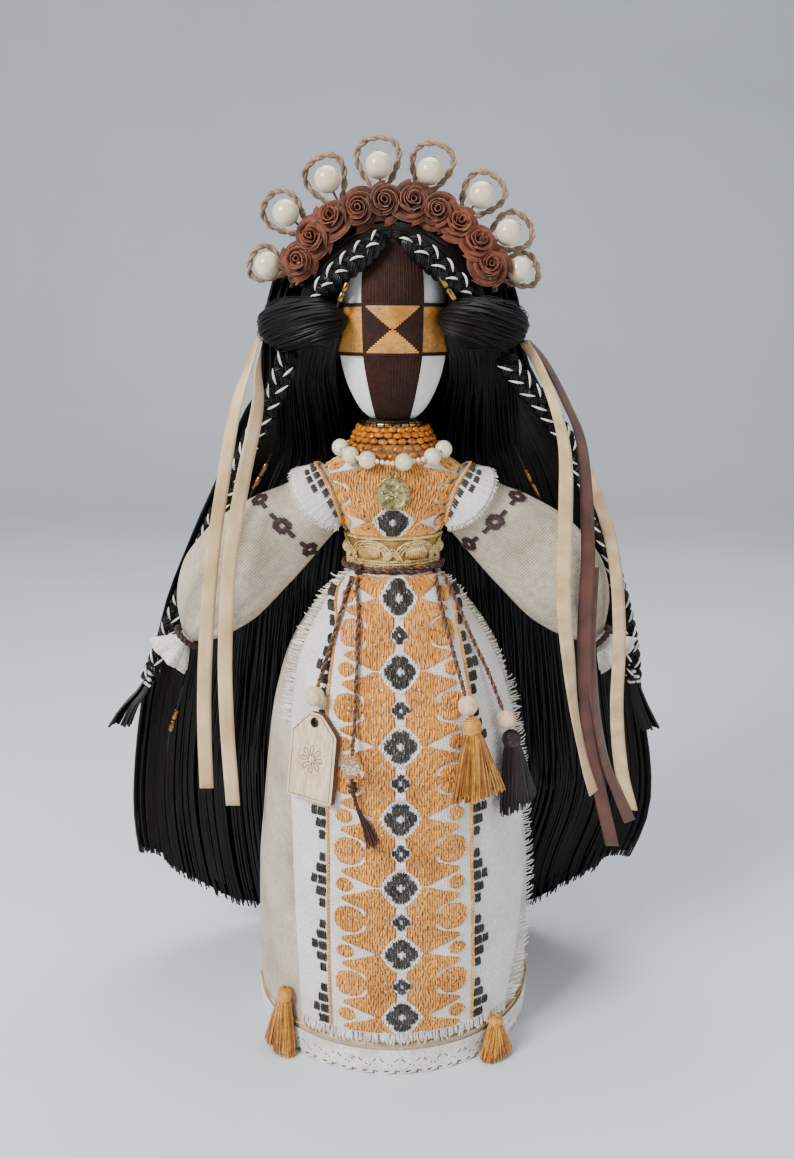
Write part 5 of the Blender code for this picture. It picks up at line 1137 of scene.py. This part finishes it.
templeShares = (0.30, 0.62, 0.84, 0.96, 1, 1, 1, 0.98, 0.93, 0.84, 0.66, 0.36)
braidShares = (0.42, 0.68, 0.82, 0.88, 0.88, 0.86, 0.82, 0.74, 0.62, 0.40)
flyaways = []
for side in (-1, 1):
    name = "left" if side < 0 else "right"
    centres = smoothRoute([Vector((side * x, y, z)) for x, y, z in
                           ((19.5, -15.5, 306.5), (28, -19.5, 306), (40, -14.5, 305), (46.5, -4, 304.5), (44, 4, 304))],
                          420)
    spine = centres[::9] + centres[-1:]
    share = temper(templeShares, len(spine))
    wound = []
    for ring, count, start in ((9.4, 74, 0), (8.7, 60, 0.3)):
        for line in ply(spine, ring, side * 210, count, start, None, share):
            shift, phase = dice.uniform(0.94, 1.03), dice.random() * math.tau
            wound.append([middle + (spot - middle) * (shift + 0.02 * math.sin(phase + 0.4 * step))
                          for step, (spot, middle) in enumerate(zip(line, spine))])
    strands(f"{name}_wound_roll", wound, 0.46, yarn, "doll", [f"{name}_temple_roll"], 0)
    for number in range(46):  # loose hairs that stand off it
        begin = dice.randrange(0, len(spine) - 12)
        line = ply(spine, 9.9, side * dice.uniform(60, 400), 1, dice.random(), None, share)[0][begin:begin + 12]
        flyaways.append([spot + (spot - spine[begin + step]) * (0.07 * math.sin(math.pi * step / 11) + 0.02)
                         for step, spot in enumerate(line)])
    core = smoothRoute(centres[::40], 14)
    # the core inside the roll, darker than the yarn: painted shade between its strands
    strands(f"{name}_roll_core", [core], 8.3, shadedYarnUnder, "doll", (), 3, temper(templeShares, 14))

    route = smoothRoute([Vector((side * x, y, z)) for x, y, z in
                         ((3.2, -19.6, 338), (11.6, -21.4, 331), (20.6, -19.6, 323.8), (28, -16.6, 317.4),
                          (32.4, -14, 313.6))], 60)
    makePlait(f"{name}_front_plait", route, 6, 11, "doll", [f"{name}_front_braid"],
              Vector((side * 0.25, -0.85, 0.45)).normalized(), temper(braidShares, 60))

strands("loose_hairs", flyaways, 0.16, yarn, "doll", (), 0)

sideBraids = {
    "left": ((-41.6, -8.2, 293.9), (-47.4, -5, 279.5), (-55.2, -1, 265), (-68.2, 7, 240), (-82.4, 15.3, 213),
             (-94.8, 16.8, 186), (-105, 16.6, 163), (-113, 15, 145), (-120, 14, 136), (-125, 14, 127)),
    "right": ((44.2, -8.5, 291.9), (53.4, -5, 281.5), (65.4, -1, 268), (78.1, 7, 248), (91.2, 14.5, 217),
              (100.4, 16, 190), (106.7, 16, 167), (109.5, 15, 148), (112.5, 14, 137), (117, 14, 125.5)),
}
for name, points in sideBraids.items():
    route = smoothRoute(vectors(points), 200)
    laced = route[:174]
    makePlait(f"{name}_laced_plait", laced, 5.2, 14, "doll", [f"{name}_side_braid"], Vector((0, -1, 0.15)).normalized(),
              [1.06 - 0.2 * index / 173 for index in range(174)])
    tuft = []
    for number in range(26):
        spread = Vector((dice.uniform(-1, 1), dice.uniform(-1, 1), 0))
        line = []
        for step in range(9):
            grow = step / 8
            spot = route[172 + round(27 * grow)]
            line.append(spot + spread * (1.6 + 3.6 * grow) * 0.9)
        tuft.append(line)
    strands(f"{name}_plait_tuft", tuft, 0.6, yarn, "doll", (), 0)
    tie = ply(route[166:176], 3.0, 1.5, 1)[0]
    strands(f"{name}_plait_tie", [smoothRoute(tie, 60)], 0.75, lacing, "doll")
print("hair made")

# Ribbons, each station its middle and then half its width as a vector
ribbons = {
    "left_cream_ribbon": (creamSatin, (
        (-80.6, -19, 110, 3, 0, 0), (-80.4, -19, 140, 3, 0, 0), (-78.6, -19, 172, 3, 0, 0), (-74.4, -19, 210, 3, 0, 0),
        (-68.8, -18, 243, 2.9, 0, 0.6), (-63.4, -14, 272, 2.8, 0, 0.9), (-58.4, -9.5, 288, 2.4, -1.6, 0.6),
        (-52.8, -5.7, 302.3, 0.6, -2.9, 0), (-54.2, -12, 288, -2, -2, 0.6), (-54.6, -15, 272, -2.7, -1.2, 0.6),
        (-60.4, -22.4, 243, -2.9, -0.5, 0.5), (-66.6, -23.4, 210, -3, 0, 0), (-69.7, -23.4, 172, -3, 0, 0),
        (-70, -23.4, 140, -3, 0, 0), (-68.7, -23.4, 104, -3, 0, 0))),
    "right_cream_ribbon": (creamSatin, (
        (86.8, -20, 108, 1.4, 1.4, 0.4), (82.4, -20, 122, 1.2, 1.8, 0.3), (77.1, -20.5, 145, 1.6, 1.6, 0.3),
        (73.6, -21, 168, 2.6, 0.8, 0.2), (70.6, -21, 194, 3, 0, 0), (70.2, -20.5, 227, 3, 0, 0),
        (69.4, -18.5, 255, 2.9, 0, -0.5), (64.8, -14, 274, 2.6, 0, -1.3), (58.6, -9, 289, 2.2, -1.6, -1),
        (53, -6.2, 298, 1.4, -2.6, 0.6))),
    "right_brown_ribbon": (brownSatin, (
        (97.2, -13.5, 80, 3, 0, 0), (90.2, -13.5, 108, 3, 0, 0), (83.8, -14, 140, 3, 0, 0), (80.7, -15, 176, 3, 0, 0),
        (80.8, -15, 214, 3, 0, 0), (77.4, -12, 255, 2.9, 0.3, -0.5), (70.4, -8.6, 274, 2.6, 0.8, -1.3),
        (61.4, -3, 291, 2.4, 1.6, -1), (54.4, -0.5, 298.9, 2, 2.2, -0.4))),
    "long_brown_ribbon": (brownSatin, (
        (104.7, -12, 91.1, 2.6, 1.4, 0.3), (98, -12.5, 106, 2, 2.2, 0.3), (92, -13, 121, 1.8, 2.3, 0.3),
        (86.4, -13, 147.9, 2.4, 1.8, 0.2), (83.5, -12, 176, 2.8, 1, 0), (83.5, -11.5, 206, 3, 0.4, 0))),
    "outer_cream_ribbon": (creamSatin, (
        (105.5, -10, 95.4, 3, 0, 0), (100.2, -10, 115.3, 3, 0, 0), (96.9, -10, 143, 2.9, 0.6, 0),
        (96.6, -10, 174.5, 2.9, 0.8, 0), (94, -8, 205, 2.8, 1, 0), (89.2, -4, 226, 2.8, 1, 0),
        (81.3, 2, 246, 2.8, 1, 0))),
}
for name, (finish, stations) in ribbons.items():
    middle = smoothRoute([Vector(station[:3]) for station in stations], 121)
    table = [(index / (len(stations) - 1), *station[3:]) for index, station in enumerate(stations)]

    def ribbonPlace(u, v):
        half = Vector([valueAt(table, v, column) for column in (1, 2, 3)]).normalized() * 3
        return middle[round(v * 120)] + half * (2 * u - 1)

    nodes = [name] if name.split("_")[0] in ("left", "right") else []  # the outer ones are in the photo only
    finishMesh(f"{name}_satin", clothGrid(4, 120, ribbonPlace, (6, 300)), finish, "doll", nodes, 0.4, 1)

# Crown
crownBand = []
for step in range(330):
    share = step / 329
    turn = math.tau * share * 82
    angle = -73 + 146 * share
    radius = 39.5 + 1.2 * math.cos(turn)
    crownBand.append(crownPoint(angle, radius, -1.9 + 4.6 * math.sin(turn)))
strands("crown_band_winding", [smoothRoute(crownBand, 1600)], 0.6, jute, "crown", ["crown_band"], 0)


def bandPlace(u, v):
    corner = (0.25 + u) * math.tau
    return crownPoint(-72.5 + 145 * v, 39.5 + 1.0 * math.cos(corner), -1.9 + 4.4 * math.sin(corner))


finishMesh("crown_band_core", closeEnds(clothGrid(10, 60, bandPlace)), jute, "crown")

roses = {
    "ring": 42.5, "front": -9.3,
    "angles": (-61, -47, -33, -18.5, -4, 10.5, 24, 37.5, 51, 64.5),
    # petals, the radius of their feet and rims, how high the rims stand, and how far they roll outwards
    "rings": ((6, 3.2, 7.2, 2.2, 1.5), (5, 2.6, 5.4, 4.2, 0.9), (4, 1.9, 3.9, 5.6, 0.5), (3, 1.2, 2.5, 6.4, 0.2),
              (2, 0.5, 1.2, 6.7, 0.0)),
}
roseMesh = bmesh.new()
petalRims = []
for index, angle in enumerate(roses["angles"]):
    outward = (crownPoint(angle, 1, 0) - crownPoint(angle, 0, 0)).normalized()
    facing = (front + outward * (0.1 + 0.22 * (index % 3)) + up * dice.uniform(-0.25, 0.25)).normalized()
    side = facing.cross(up).normalized()
    lift = side.cross(facing)
    centre = crownPoint(angle, roses["ring"], roses["front"])
    for ring, (petals, foot, rim, high, roll) in enumerate(roses["rings"]):
        for petal in range(petals):
            turn = math.tau * (petal + 0.37 * ring + 0.12 * dice.random()) / petals + index
            reach = math.tau / petals * 0.72
            wobble = dice.random() * math.tau
            wide, stand = dice.uniform(0.84, 1.12), dice.uniform(0.72, 1.15)
            sheet = bmesh.ops.create_grid(roseMesh, x_segments=6, y_segments=5, size=0.5)["verts"]
            edge = {}
            for vert in sheet:
                a, b = vert.co.x * 2, vert.co.y + 0.5
                tip = 1 - 0.22 * abs(a) ** 3 + 0.05 * math.sin(wobble + 5 * a)
                swirl = turn + a * reach * (0.8 + 0.2 * b)
                radius = (foot + (rim * wide - foot) * b ** 0.8) * (1 + 0.14 * a)
                radius += roll * max(b - 0.6, 0) ** 1.5 * 2.4
                rise = high * stand * tip * math.sin(b * math.pi / 2) - roll * max(b - 0.75, 0) * 2.2
                vert.co = (centre + side * (radius * math.cos(swirl)) + lift * (radius * math.sin(swirl))
                           + facing * rise)
                if b > 0.99:
                    edge[a] = vert.co.copy()
            petalRims.append([edge[a] for a in sorted(edge)])
# Pale strands along every petal's rim: a painted highlight.
strands("rose_petal_edges", petalRims, 0.14, paperRimHighlight, "crown", (), 0)
finishMesh("paper_roses", roseMesh, paper, "crown", ["rose_garland"], 0.28, 0, 1)
core = [crownPoint(-61 + 125.5 * step / 40, roses["ring"], roses["front"]) for step in range(41)]
strands("rose_stem_wire", [core], 1.3, paper, "crown", (), 2)

loops = {
    "diameter": 2.6, "foot": 42.6, "reach": 70, "halfWidth": 10.4, "ease": 2.2, "plane": 3.2, "swing": 2.6,
    "points": 13,
    "shares": ((-69, 0.90, 0.82), (-47.5, 0.985, 0.93), (-26.5, 0.985, 1), (-5.5, 1, 1.04), (15, 0.995, 1),
               (37.5, 0.985, 1), (56, 0.955, 0.93), (71.5, 0.90, 0.82)),
}


def loopAngle(t):  # it stays by a loop's middle and moves on at its foot
    index = min(int(t), len(loops["shares"]) - 1)
    angles = [row[0] for row in loops["shares"]]
    offset = 2 * (t - index) - 1
    other = index + (1 if offset > 0 else -1)
    gap = abs(angles[other] - angles[index]) if 0 <= other < len(angles) else 12
    return angles[index] + math.copysign(abs(offset) ** loops["ease"], offset) * gap / 2


spans = [(0.5 + index, *row) for index, row in enumerate(loops["shares"])]
twine = []
for step in range(len(loops["shares"]) * loops["points"] + 1):
    t = step / loops["points"]
    angle = loopAngle(t)
    phase = math.tau * t
    height = (1 - math.cos(phase)) / 2
    radius = loops["foot"] + (loops["reach"] * valueAt(spans, t, 2) - loops["diameter"] / 2 - loops["foot"]) * height
    spot = crownPoint(angle, radius, loops["plane"] - loops["swing"] * math.sin(phase))
    spread = loops["halfWidth"] * valueAt(spans, t, 3) * math.sin(phase) * (0.45 + 0.75 * height)
    turn = math.radians(angle)
    twine.append(spot + Vector((math.cos(turn), 0, -math.sin(turn))) * spread)
twine = smoothRoute(twine, 1300)
twinePlies = ply(twine, 0.62, 9.5)
strands("twisted_jute", twinePlies, 0.72, jute, "crown", ["jute_loops"], 2)
fuzz = []
for number in range(2200):
    index = dice.randrange(4, len(twine) - 4)
    base = twinePlies[number % 2][index]
    away = (base - twine[index]).normalized()
    lean = Vector([dice.uniform(-1, 1) for axis in range(3)])
    tip = base + away * dice.uniform(0.8, 1.7) + lean * 0.9
    fuzz.append([base, base.lerp(tip, 0.5) + lean * 0.15, tip])
strands("jute_fuzz", fuzz, 0.07, jute, "crown", (), 0, [1, 0.7, 0.3])

crownBeads = ((-69, 0.93), (-47.3, 1), (-26.5, 1), (-5.5, 0.99), (15, 0.98), (37.5, 1), (55.6, 0.97), (71.3, 0.93))


def bead(name, centre, radius, finish, body, nodes=(), axis=up, hole=0.9):  # turned about its threading hole
    bm = bmesh.new()
    profile = []
    first = math.asin(min(hole / radius, 0.9))
    for step in range(15):
        lean = first + (math.pi - 2 * first) * step / 14
        profile.append(bm.verts.new((radius * math.sin(lean), 0, radius * math.cos(lean))))
    edges = [bm.edges.new(pair) for pair in zip(profile, profile[1:] + profile[:1])]
    bmesh.ops.spin(bm, geom=profile + edges, cent=(0, 0, 0), axis=(0, 0, 1), angle=math.tau, steps=28, use_merge=True)
    turn = up.rotation_difference(axis).to_matrix().to_4x4()
    bmesh.ops.transform(bm, matrix=Matrix.Translation(centre) @ turn, verts=bm.verts)
    return finishMesh(name, bm, finish, body, nodes)


for index, (angle, share) in enumerate(crownBeads):
    centre = crownPoint(angle, 57.6 * share, -4.5)
    outward = (centre - crownPoint(angle, 0, -4.5)).normalized()
    bead(f"ivory_crown_bead_{index + 1}", centre, 5.3, ivory, "crown", [f"crown_bead_{index + 1}"], outward, 0.7)
    stem = [crownPoint(angle, 41.4, -4.5), centre + outward * 5.6]
    strands(f"bead_stem_{index + 1}", [stem], 0.5, cordBrown, "crown")
print("crown made")


# Necklaces
def necklacePoint(angle, radius, height, drop):
    turn = math.radians(angle)
    return Vector((radius * math.sin(turn), -radius * 0.94 * math.cos(turn), height - drop * math.cos(turn)))


tubes = []
for number in range(26):
    angle = 360 * number / 26
    tubes.append([radial(angle + 1.2 + 11.4 * step / 3, 13.1, 265.2) for step in range(4)])
strands("bronze_choker", tubes, 1.2, bronze, "doll", ["choker"], 2)

chips = bmesh.new()
amberStrands = ((14.6, 263.6, 0.2), (15.8, 261.7, 0.5), (16.8, 259.6, 0.9), (17.6, 257.5, 1.4), (18.3, 255.4, 1.9))
for row, (radius, height, drop) in enumerate(amberStrands):
    for number in range(26):
        angle = 360 * (number + 0.5 * (row % 2)) / 26
        centre = necklacePoint(angle, radius, height, drop)
        out = radial(angle, 1, 0)
        across = up.cross(out)
        grain = bmesh.ops.create_icosphere(chips, subdivisions=1, radius=1)["verts"]
        twist, shift = dice.uniform(-0.3, 0.3), dice.uniform(-0.25, 0.25)
        for vert in grain:
            rough = vert.co * dice.uniform(0.86, 1.08)
            x, y = rough.x * 2.5 + twist * rough.y, rough.y * 1.5 + shift
            vert.co = centre + across * x + (up - out * 0.35).normalized() * y + out * (rough.z * 1.3)
finishMesh("amber_chips", chips, amber, "doll", ["amber_necklace"])

hairTubes = (((-17.4, -21.5, 320.6), (-20.8, -21, 313.5)), ((18.2, -22, 323.2), (24.4, -21, 313.8)),
             ((-53.6, 4, 247.5), (-59.8, 5, 236.5)), ((56.5, 9, 244.5), (63, 10, 232.5)),
             ((-99.5, 17, 133), (-103.2, 17, 122)), ((85.4, 12, 190), (87.6, 12, 182)))
tubes, tubeStrands = [], []
for high, low in hairTubes:
    high, low = Vector(high), Vector(low)
    way = (low - high).normalized()
    ends = (high - way * 9 + Vector((0, 2.5, 2)), high, low, low + way * 7 + Vector((0, 2, -4)))
    tubeStrands.append(smoothRoute(ends, 16))
    length = (low - high).length
    for k in (0, 0.52):
        tubes.append([high + way * (length * (k + 0.44 * share)) for share in (0, 0.08, 0.5, 0.92, 1)])
strands("hair_tubes", tubes, 1.25, bronze, "doll", (), 2, [0.86, 1, 1, 1, 0.86])
strands("hair_tube_strands", tubeStrands, 0.5, yarn, "doll", (), 0)

stringStations = ((0, 21, 250.8), (45, 22.3, 252.8), (70, 22.8, 255.6), (100, 21, 256.2), (140, 19.2, 256.6),
                  (180, 18.7, 256.6))


def stringPoint(angle):
    side = abs((angle + 180) % 360 - 180)
    return radial(angle, valueAt(stringStations, side), valueAt(stringStations, side, 2))


seeds = bmesh.new()
for number in range(64):
    bmesh.ops.create_uvsphere(seeds, u_segments=10, v_segments=7, radius=0.95,
                              matrix=Matrix.Translation(stringPoint(360 * number / 64)))
finishMesh("seed_beads", seeds, lacing, "doll", ["ivory_necklace"])
for number, angle in enumerate((-72, -50, -28, 12, 46, 66)):
    away = (stringPoint(angle + 4) - stringPoint(angle - 4)).normalized()
    bead(f"ivory_necklace_bead_{number + 1}", stringPoint(angle), 3.6, ivory, "doll", (), away, 0.8)

coinCentre = (0, -19.63, 238.2)
coinMesh = bmesh.new()
profile = vectors(((0, 0, 0.35), (5.6, 0, 0.35), (5.9, 0, 0.6), (6.7, 0, 0.6), (7, 0, 0.35), (7, 0, -0.35),
                   (6.7, 0, -0.6), (0, 0, -0.6)))
verts = [coinMesh.verts.new(spot) for spot in profile]
edges = [coinMesh.edges.new(pair) for pair in zip(verts, verts[1:])]
bmesh.ops.spin(coinMesh, geom=verts + edges, cent=(0, 0, 0), axis=(0, 0, 1), angle=math.tau, steps=64, use_merge=True)
for number in range(8):  # a plain rosette
    turn = math.tau * number / 8
    place = (Matrix.Rotation(turn, 4, "Z") @ Matrix.Translation((3.1, 0, 0.36)) @ Matrix.Diagonal((1.9, 0.85, 0.28, 1)))
    bmesh.ops.create_uvsphere(coinMesh, u_segments=12, v_segments=8, radius=1, matrix=place)
bmesh.ops.create_uvsphere(coinMesh, u_segments=14, v_segments=8, radius=1,
                          matrix=Matrix.Translation((0, 0, 0.36)) @ Matrix.Diagonal((1.1, 1.1, 0.35, 1)))
for number in range(40):  # and a beaded border
    turn = math.tau * number / 40
    bmesh.ops.create_icosphere(coinMesh, subdivisions=1, radius=0.3,
                               matrix=Matrix.Translation((5.3 * math.cos(turn), 5.3 * math.sin(turn), 0.36)))
bmesh.ops.transform(coinMesh, verts=coinMesh.verts,
                    matrix=Matrix.Translation(coinCentre) @ Matrix.Rotation(math.radians(90), 4, "X"))
finishMesh("brass_coin", coinMesh, agedBrass, "coin", ["coin_pendant"])
coinTop = Vector(coinCentre) + Vector((0, 0, 8.05))
ring = [coinTop + Vector((1.5 * math.cos(math.tau * step / 24), 0, 1.5 * math.sin(math.tau * step / 24)))
        for step in range(24)]
strands("coin_ring", [ring], 0.48, agedBrass, "coin", (), 2, closed=True)
print("necklaces made")


# What hangs from the belt
def tasselPieces(name, top, down, out, finish, body, nodes, height, spread, headRadius, flatness, count):
    down = down.normalized()
    out = (out - down * out.dot(down)).normalized()
    side = down.cross(out)
    threads = []
    for number in range(count):
        turn = math.tau * dice.random()
        depth = math.sqrt(dice.random()) * 0.45 + 0.62
        sway = dice.uniform(-0.3, 0.3)
        end = dice.uniform(0.88, 1.01)
        line = []
        for step in range(11):
            v = 0.2 + (end - 0.2) * step / 10
            grow = max((v - 0.24) / 0.76, 0) ** 0.9
            neck = headRadius * (0.80 if v < 0.26 else 0.95)
            wide = neck + (spread - neck) * grow
            deep = neck + (spread * flatness - neck) * grow
            line.append(top + down * (height * v) + side * (wide * depth * math.sin(turn + sway * grow))
                        + out * (deep * depth * math.cos(turn + sway * grow)))
        threads.append(line)
    piece = strands(f"{name}_threads", threads, 0.28, finish, body, nodes, 0)
    # half the threads, in random order, take a darker finish as painted shade between threads: the gold floss's darker
    # copy, or the dark neck thread on the brown tassel
    twoTone(piece, goldFlossPaintedShade if finish == goldFloss else neckThread)
    cap = []
    for step in range(200):
        v = 0.2 * step / 199
        wide = headRadius * valueAt(((0, 0.3), (0.04, 0.8), (0.1, 1), (0.16, 0.95), (0.2, 0.74)), v)
        turn = math.tau * 12 * step / 199
        cap.append(top + down * (height * v) + side * (wide * math.sin(turn)) + out * (wide * math.cos(turn)))
    strands(f"{name}_head", [cap], 0.36, finish, body)
    heart = [top + down * (height * (0.02 + 0.18 * step / 8)) for step in range(9)]
    strands(f"{name}_heart", [heart], headRadius, finish, body, (), 3,
            [0.3, 0.72, 0.9, 0.96, 0.98, 0.96, 0.92, 0.85, 0.72])


beadRadius = 4.0


def after(points, distance):
    return points[-1] + (points[-1] - points[-2]).normalized() * distance


beltTassel = {"height": 33, "spread": 12, "head": 3.6, "flatness": 0.36, "threads": 420}
hemTassel = {"spread": 8.4, "head": 2.9, "flatness": 0.5, "threads": 320}
for name, finish, swing in (("gold_tassel", goldFloss, 1.5), ("dark_tassel", brownFloss, 3.0)):
    points = [onSkirt(*station) for station in beltCords[name]]
    spot = after(points, beadRadius + 0.3)
    ahead = (points[-1] - points[-2]).normalized()
    bead(f"{name}_beech_bead", spot, beadRadius, beech, f"{name}_hanging", [f"{name}_bead"], ahead)
    angle = math.degrees(math.atan2(spot.x, -spot.y))
    top = spot + ahead * (beadRadius + 0.9)
    end = onSkirt(angle + swing, top.z - beltTassel["height"] * 0.97, 12 * 0.36 * 1.1 + 1 + 1.2)
    tasselPieces(name, top, end - top, onSkirt(angle, 0).normalized(), finish, f"{name}_hanging", [name],
                 *beltTassel.values())
for name, angle, swing, tall in (("left_hem", -44.5, -3.5, 31.5), ("right_hem", 42, 0, 19)):
    begin = onSkirt(angle, tall, 4.2)
    end = onSkirt(angle + swing, 1, 7.6 * 0.56 + 0.5 + 1.2)
    tasselPieces(f"{name}_tassel", begin, end - begin, onSkirt(angle, 0), goldFloss, f"{name}_hanging",
                 [f"{name}_tassel"], tall - 1, *hemTassel.values())

points = [onSkirt(*station) for station in beltCords["tag"]]
bead("tag_beech_bead", after(points, beadRadius + 0.3), beadRadius, beech, "tag_hanging", ["tag_bead"],
     (points[-1] - points[-2]).normalized())
points = [onSkirt(*station) for station in beltCords["crystal"]]
gem = bmesh.new()
bmesh.ops.create_icosphere(gem, subdivisions=2, radius=4.2, matrix=Matrix.Translation(after(points, 4.5)))
gemPiece = finishMesh("faceted_crystal", gem, crystal, "crystal_hanging", ["crystal_bead"])
gemPiece.data.shade_flat()
tail = smoothRoute([onSkirt(*station) for station in
                    ((-15.5, 130.2, 6.2), (-15, 125, 5.6), (-12.8, 117, 4.8), (-9.6, 110, 4.6), (-7.6, 103.5, 4.8))], 40)
strands("knotted_tail", ply(tail, 0.42, 3.4), 0.5, cordBrown, "crystal_hanging", ["cord_knot"])
wraps = []
for place in (4, 7):
    spot, side, lift, walked = travel(tail)[place]
    wraps.append(knot(spot, 1.7, lift))
tailBrush = []
for number in range(40):
    lean = Vector([dice.uniform(-1, 1) for axis in range(3)])
    tailBrush.append([tail[18 + round(21 * step / 6)] + lean * (0.5 + 1.7 * step / 6) for step in range(7)])
strands("tail_knots", wraps, 0.6, cordBrown, "crystal_hanging")
strands("tail_brush", tailBrush, 0.22, cordBrown, "crystal_hanging", (), 0)

tag = {"width": 23, "height": 36, "thickness": 3, "shoulder": 8, "hole": 2, "angle": -34, "middle": 136, "lift": 2.5}
half, tall, neck = tag["width"] / 2, tag["height"] / 2, tag["shoulder"] * 0.4
tagMesh = bmesh.new()
outline = ((-half, -tall), (half, -tall), (half, tall - tag["shoulder"]), (neck, tall), (-neck, tall),
           (-half, tall - tag["shoulder"]))
tagMesh.faces.new([tagMesh.verts.new((x, z, 0)) for x, z in outline])
bmesh.ops.bevel(tagMesh, geom=list(tagMesh.verts), affect="VERTICES", offset=1.6, segments=4, profile=0.5,
                material=-1)
pushed = bmesh.ops.extrude_face_region(tagMesh, geom=list(tagMesh.faces))
bmesh.ops.translate(tagMesh, verts=[item for item in pushed["geom"] if isinstance(item, bmesh.types.BMVert)],
                    vec=(0, 0, tag["thickness"]))
low = onSkirt(tag["angle"], tag["middle"] - tall, tag["lift"])
high = onSkirt(tag["angle"], tag["middle"] + tall * 0.94, tag["lift"])
tagUp = (high - low).normalized()
tagRight = Vector((math.cos(math.radians(tag["angle"])), math.sin(math.radians(tag["angle"])), 0))
tagOut = tagRight.cross(tagUp)
tagPlace = Matrix((tagRight, tagUp, tagOut)).transposed().to_4x4()
tagPlace.translation = (low + high) / 2
bmesh.ops.transform(tagMesh, matrix=tagPlace, verts=tagMesh.verts)
tagPiece = finishMesh("beech_tag", tagMesh, beech, "tag_hanging", ["tag"])
borehole = bmesh.new()
bmesh.ops.create_cone(borehole, cap_ends=True, segments=32, radius1=2 * mm, radius2=2 * mm, depth=13 * mm,
                      matrix=(Matrix.Scale(mm, 4) @ tagPlace @ Matrix.Translation((0, tall - 4, 1.5))
                              @ Matrix.Scale(1 / mm, 4)))
cutAway(tagPiece, borehole)
tagPiece.data.materials.append(scorched)
for polygon in tagPiece.data.polygons:
    if abs(polygon.normal.dot(tagOut)) < 0.5:
        polygon.material_index = 1


def onTag(x, z):
    return tagPlace @ Vector((x, z, tag["thickness"] + 0.02))


inset = [(x * 0.88, z * 0.93) for x, z in outline]
etched = [smoothRoute([onTag(*a), onTag(*b)], 8) for a, b in zip(inset, inset[1:] + inset[:1])]
for number in range(8):  # a plain rosette of eight petals, and dots round it
    turn = math.tau * number / 8
    petal = []
    for step in range(13):
        t = step / 12
        reach, wide = 1.3 + 4.2 * math.sin(math.pi * t), 0.9 * math.sin(math.tau * t)
        petal.append(onTag(reach * math.cos(turn) - wide * math.sin(turn),
                           reach * math.sin(turn) + wide * math.cos(turn) - 1))
    etched.append(petal)
    spot = turn + math.tau / 16
    etched.append([onTag(far * math.cos(spot), far * math.sin(spot) - 1) for far in (6.4, 6.9)])
strands("tag_etching", etched, 0.16, scorched, "tag_hanging", (), 0)
edge = tagPiece.modifiers.new("worn edge", "BEVEL")
edge.width = 0.35 * mm
edge.segments = 2
print("hangings made")

# The four hanging cords: each one's piece and route is looked up
for name, far, riders in (("tag", "fitting", ["tag_beech_bead"]),
                          ("crystal", "fitting", ["faceted_crystal", "knotted_tail"]),
                          ("gold_tassel", "knot", ["gold_tassel_beech_bead", "gold_tassel_threads"]),
                          ("dark_tassel", "knot", ["dark_tassel_beech_bead", "dark_tassel_threads"])):
    piece, route = cordPieces[name]

# Floor, backdrop and lights
sweepSizes = {"length": 5.2, "halfWidth": 2.2, "start": -1.6, "floor": 3.0, "bend": 0.7, "radius": 0.45}
studio = bmesh.new()
bmesh.ops.create_grid(studio, x_segments=1, y_segments=60, size=1.0)
for vert in studio.verts:
    far = (vert.co.y + 1) / 2 * sweepSizes["length"]
    floor, radius = sweepSizes["floor"], sweepSizes["radius"]
    bend = min(max((far - floor) / sweepSizes["bend"], 0), 1) * math.pi / 2  # flat, then curved, then upright
    spot = (sweepSizes["start"] + min(far, floor) + radius * math.sin(bend),
            radius * (1 - math.cos(bend)) + max(far - floor - sweepSizes["bend"], 0))
    vert.co = (vert.co.x * sweepSizes["halfWidth"], spot[0], spot[1])
bmesh.ops.recalc_face_normals(studio, faces=studio.faces)
sweep = bpy.data.meshes.new("studioSweep")
studio.to_mesh(sweep)
studio.free()
sweep.shade_smooth()
backPaper = mottled("paleBackdropPaper", "#dfe4e9", "#d8dde3", 0.9, 300, 0.0, {})
sweep.materials.append(backPaper)
sweepObject = bpy.data.objects.new("studio_sweep", sweep)
bpy.context.scene.collection.objects.link(sweepObject)
lamps = {
    "key": ((-0.8, -0.8, 0.95), 0.5, 26),
    "fill": ((0.95, -0.7, 0.55), 0.9, 5),
    "top": ((0.1, 0.3, 1.25), 0.8, 10),
}
for name, (place, size, power) in lamps.items():
    lamp = bpy.data.lights.new(name, "AREA")
    lamp.size = size
    lamp.energy = power
    holder = bpy.data.objects.new(name, lamp)
    holder.location = place
    holder.rotation_euler = (Vector((0, 0, 0.18)) - Vector(place)).to_track_quat("-Z", "Y").to_euler()
    bpy.context.scene.collection.objects.link(holder)
world = bpy.data.worlds.new("studioAir")
world.use_nodes = True
world.node_tree.nodes["Background"].inputs["Color"].default_value = hexColour("#e9eef3")
world.node_tree.nodes["Background"].inputs["Strength"].default_value = 0.4
bpy.context.scene.world = world
print("studio made")
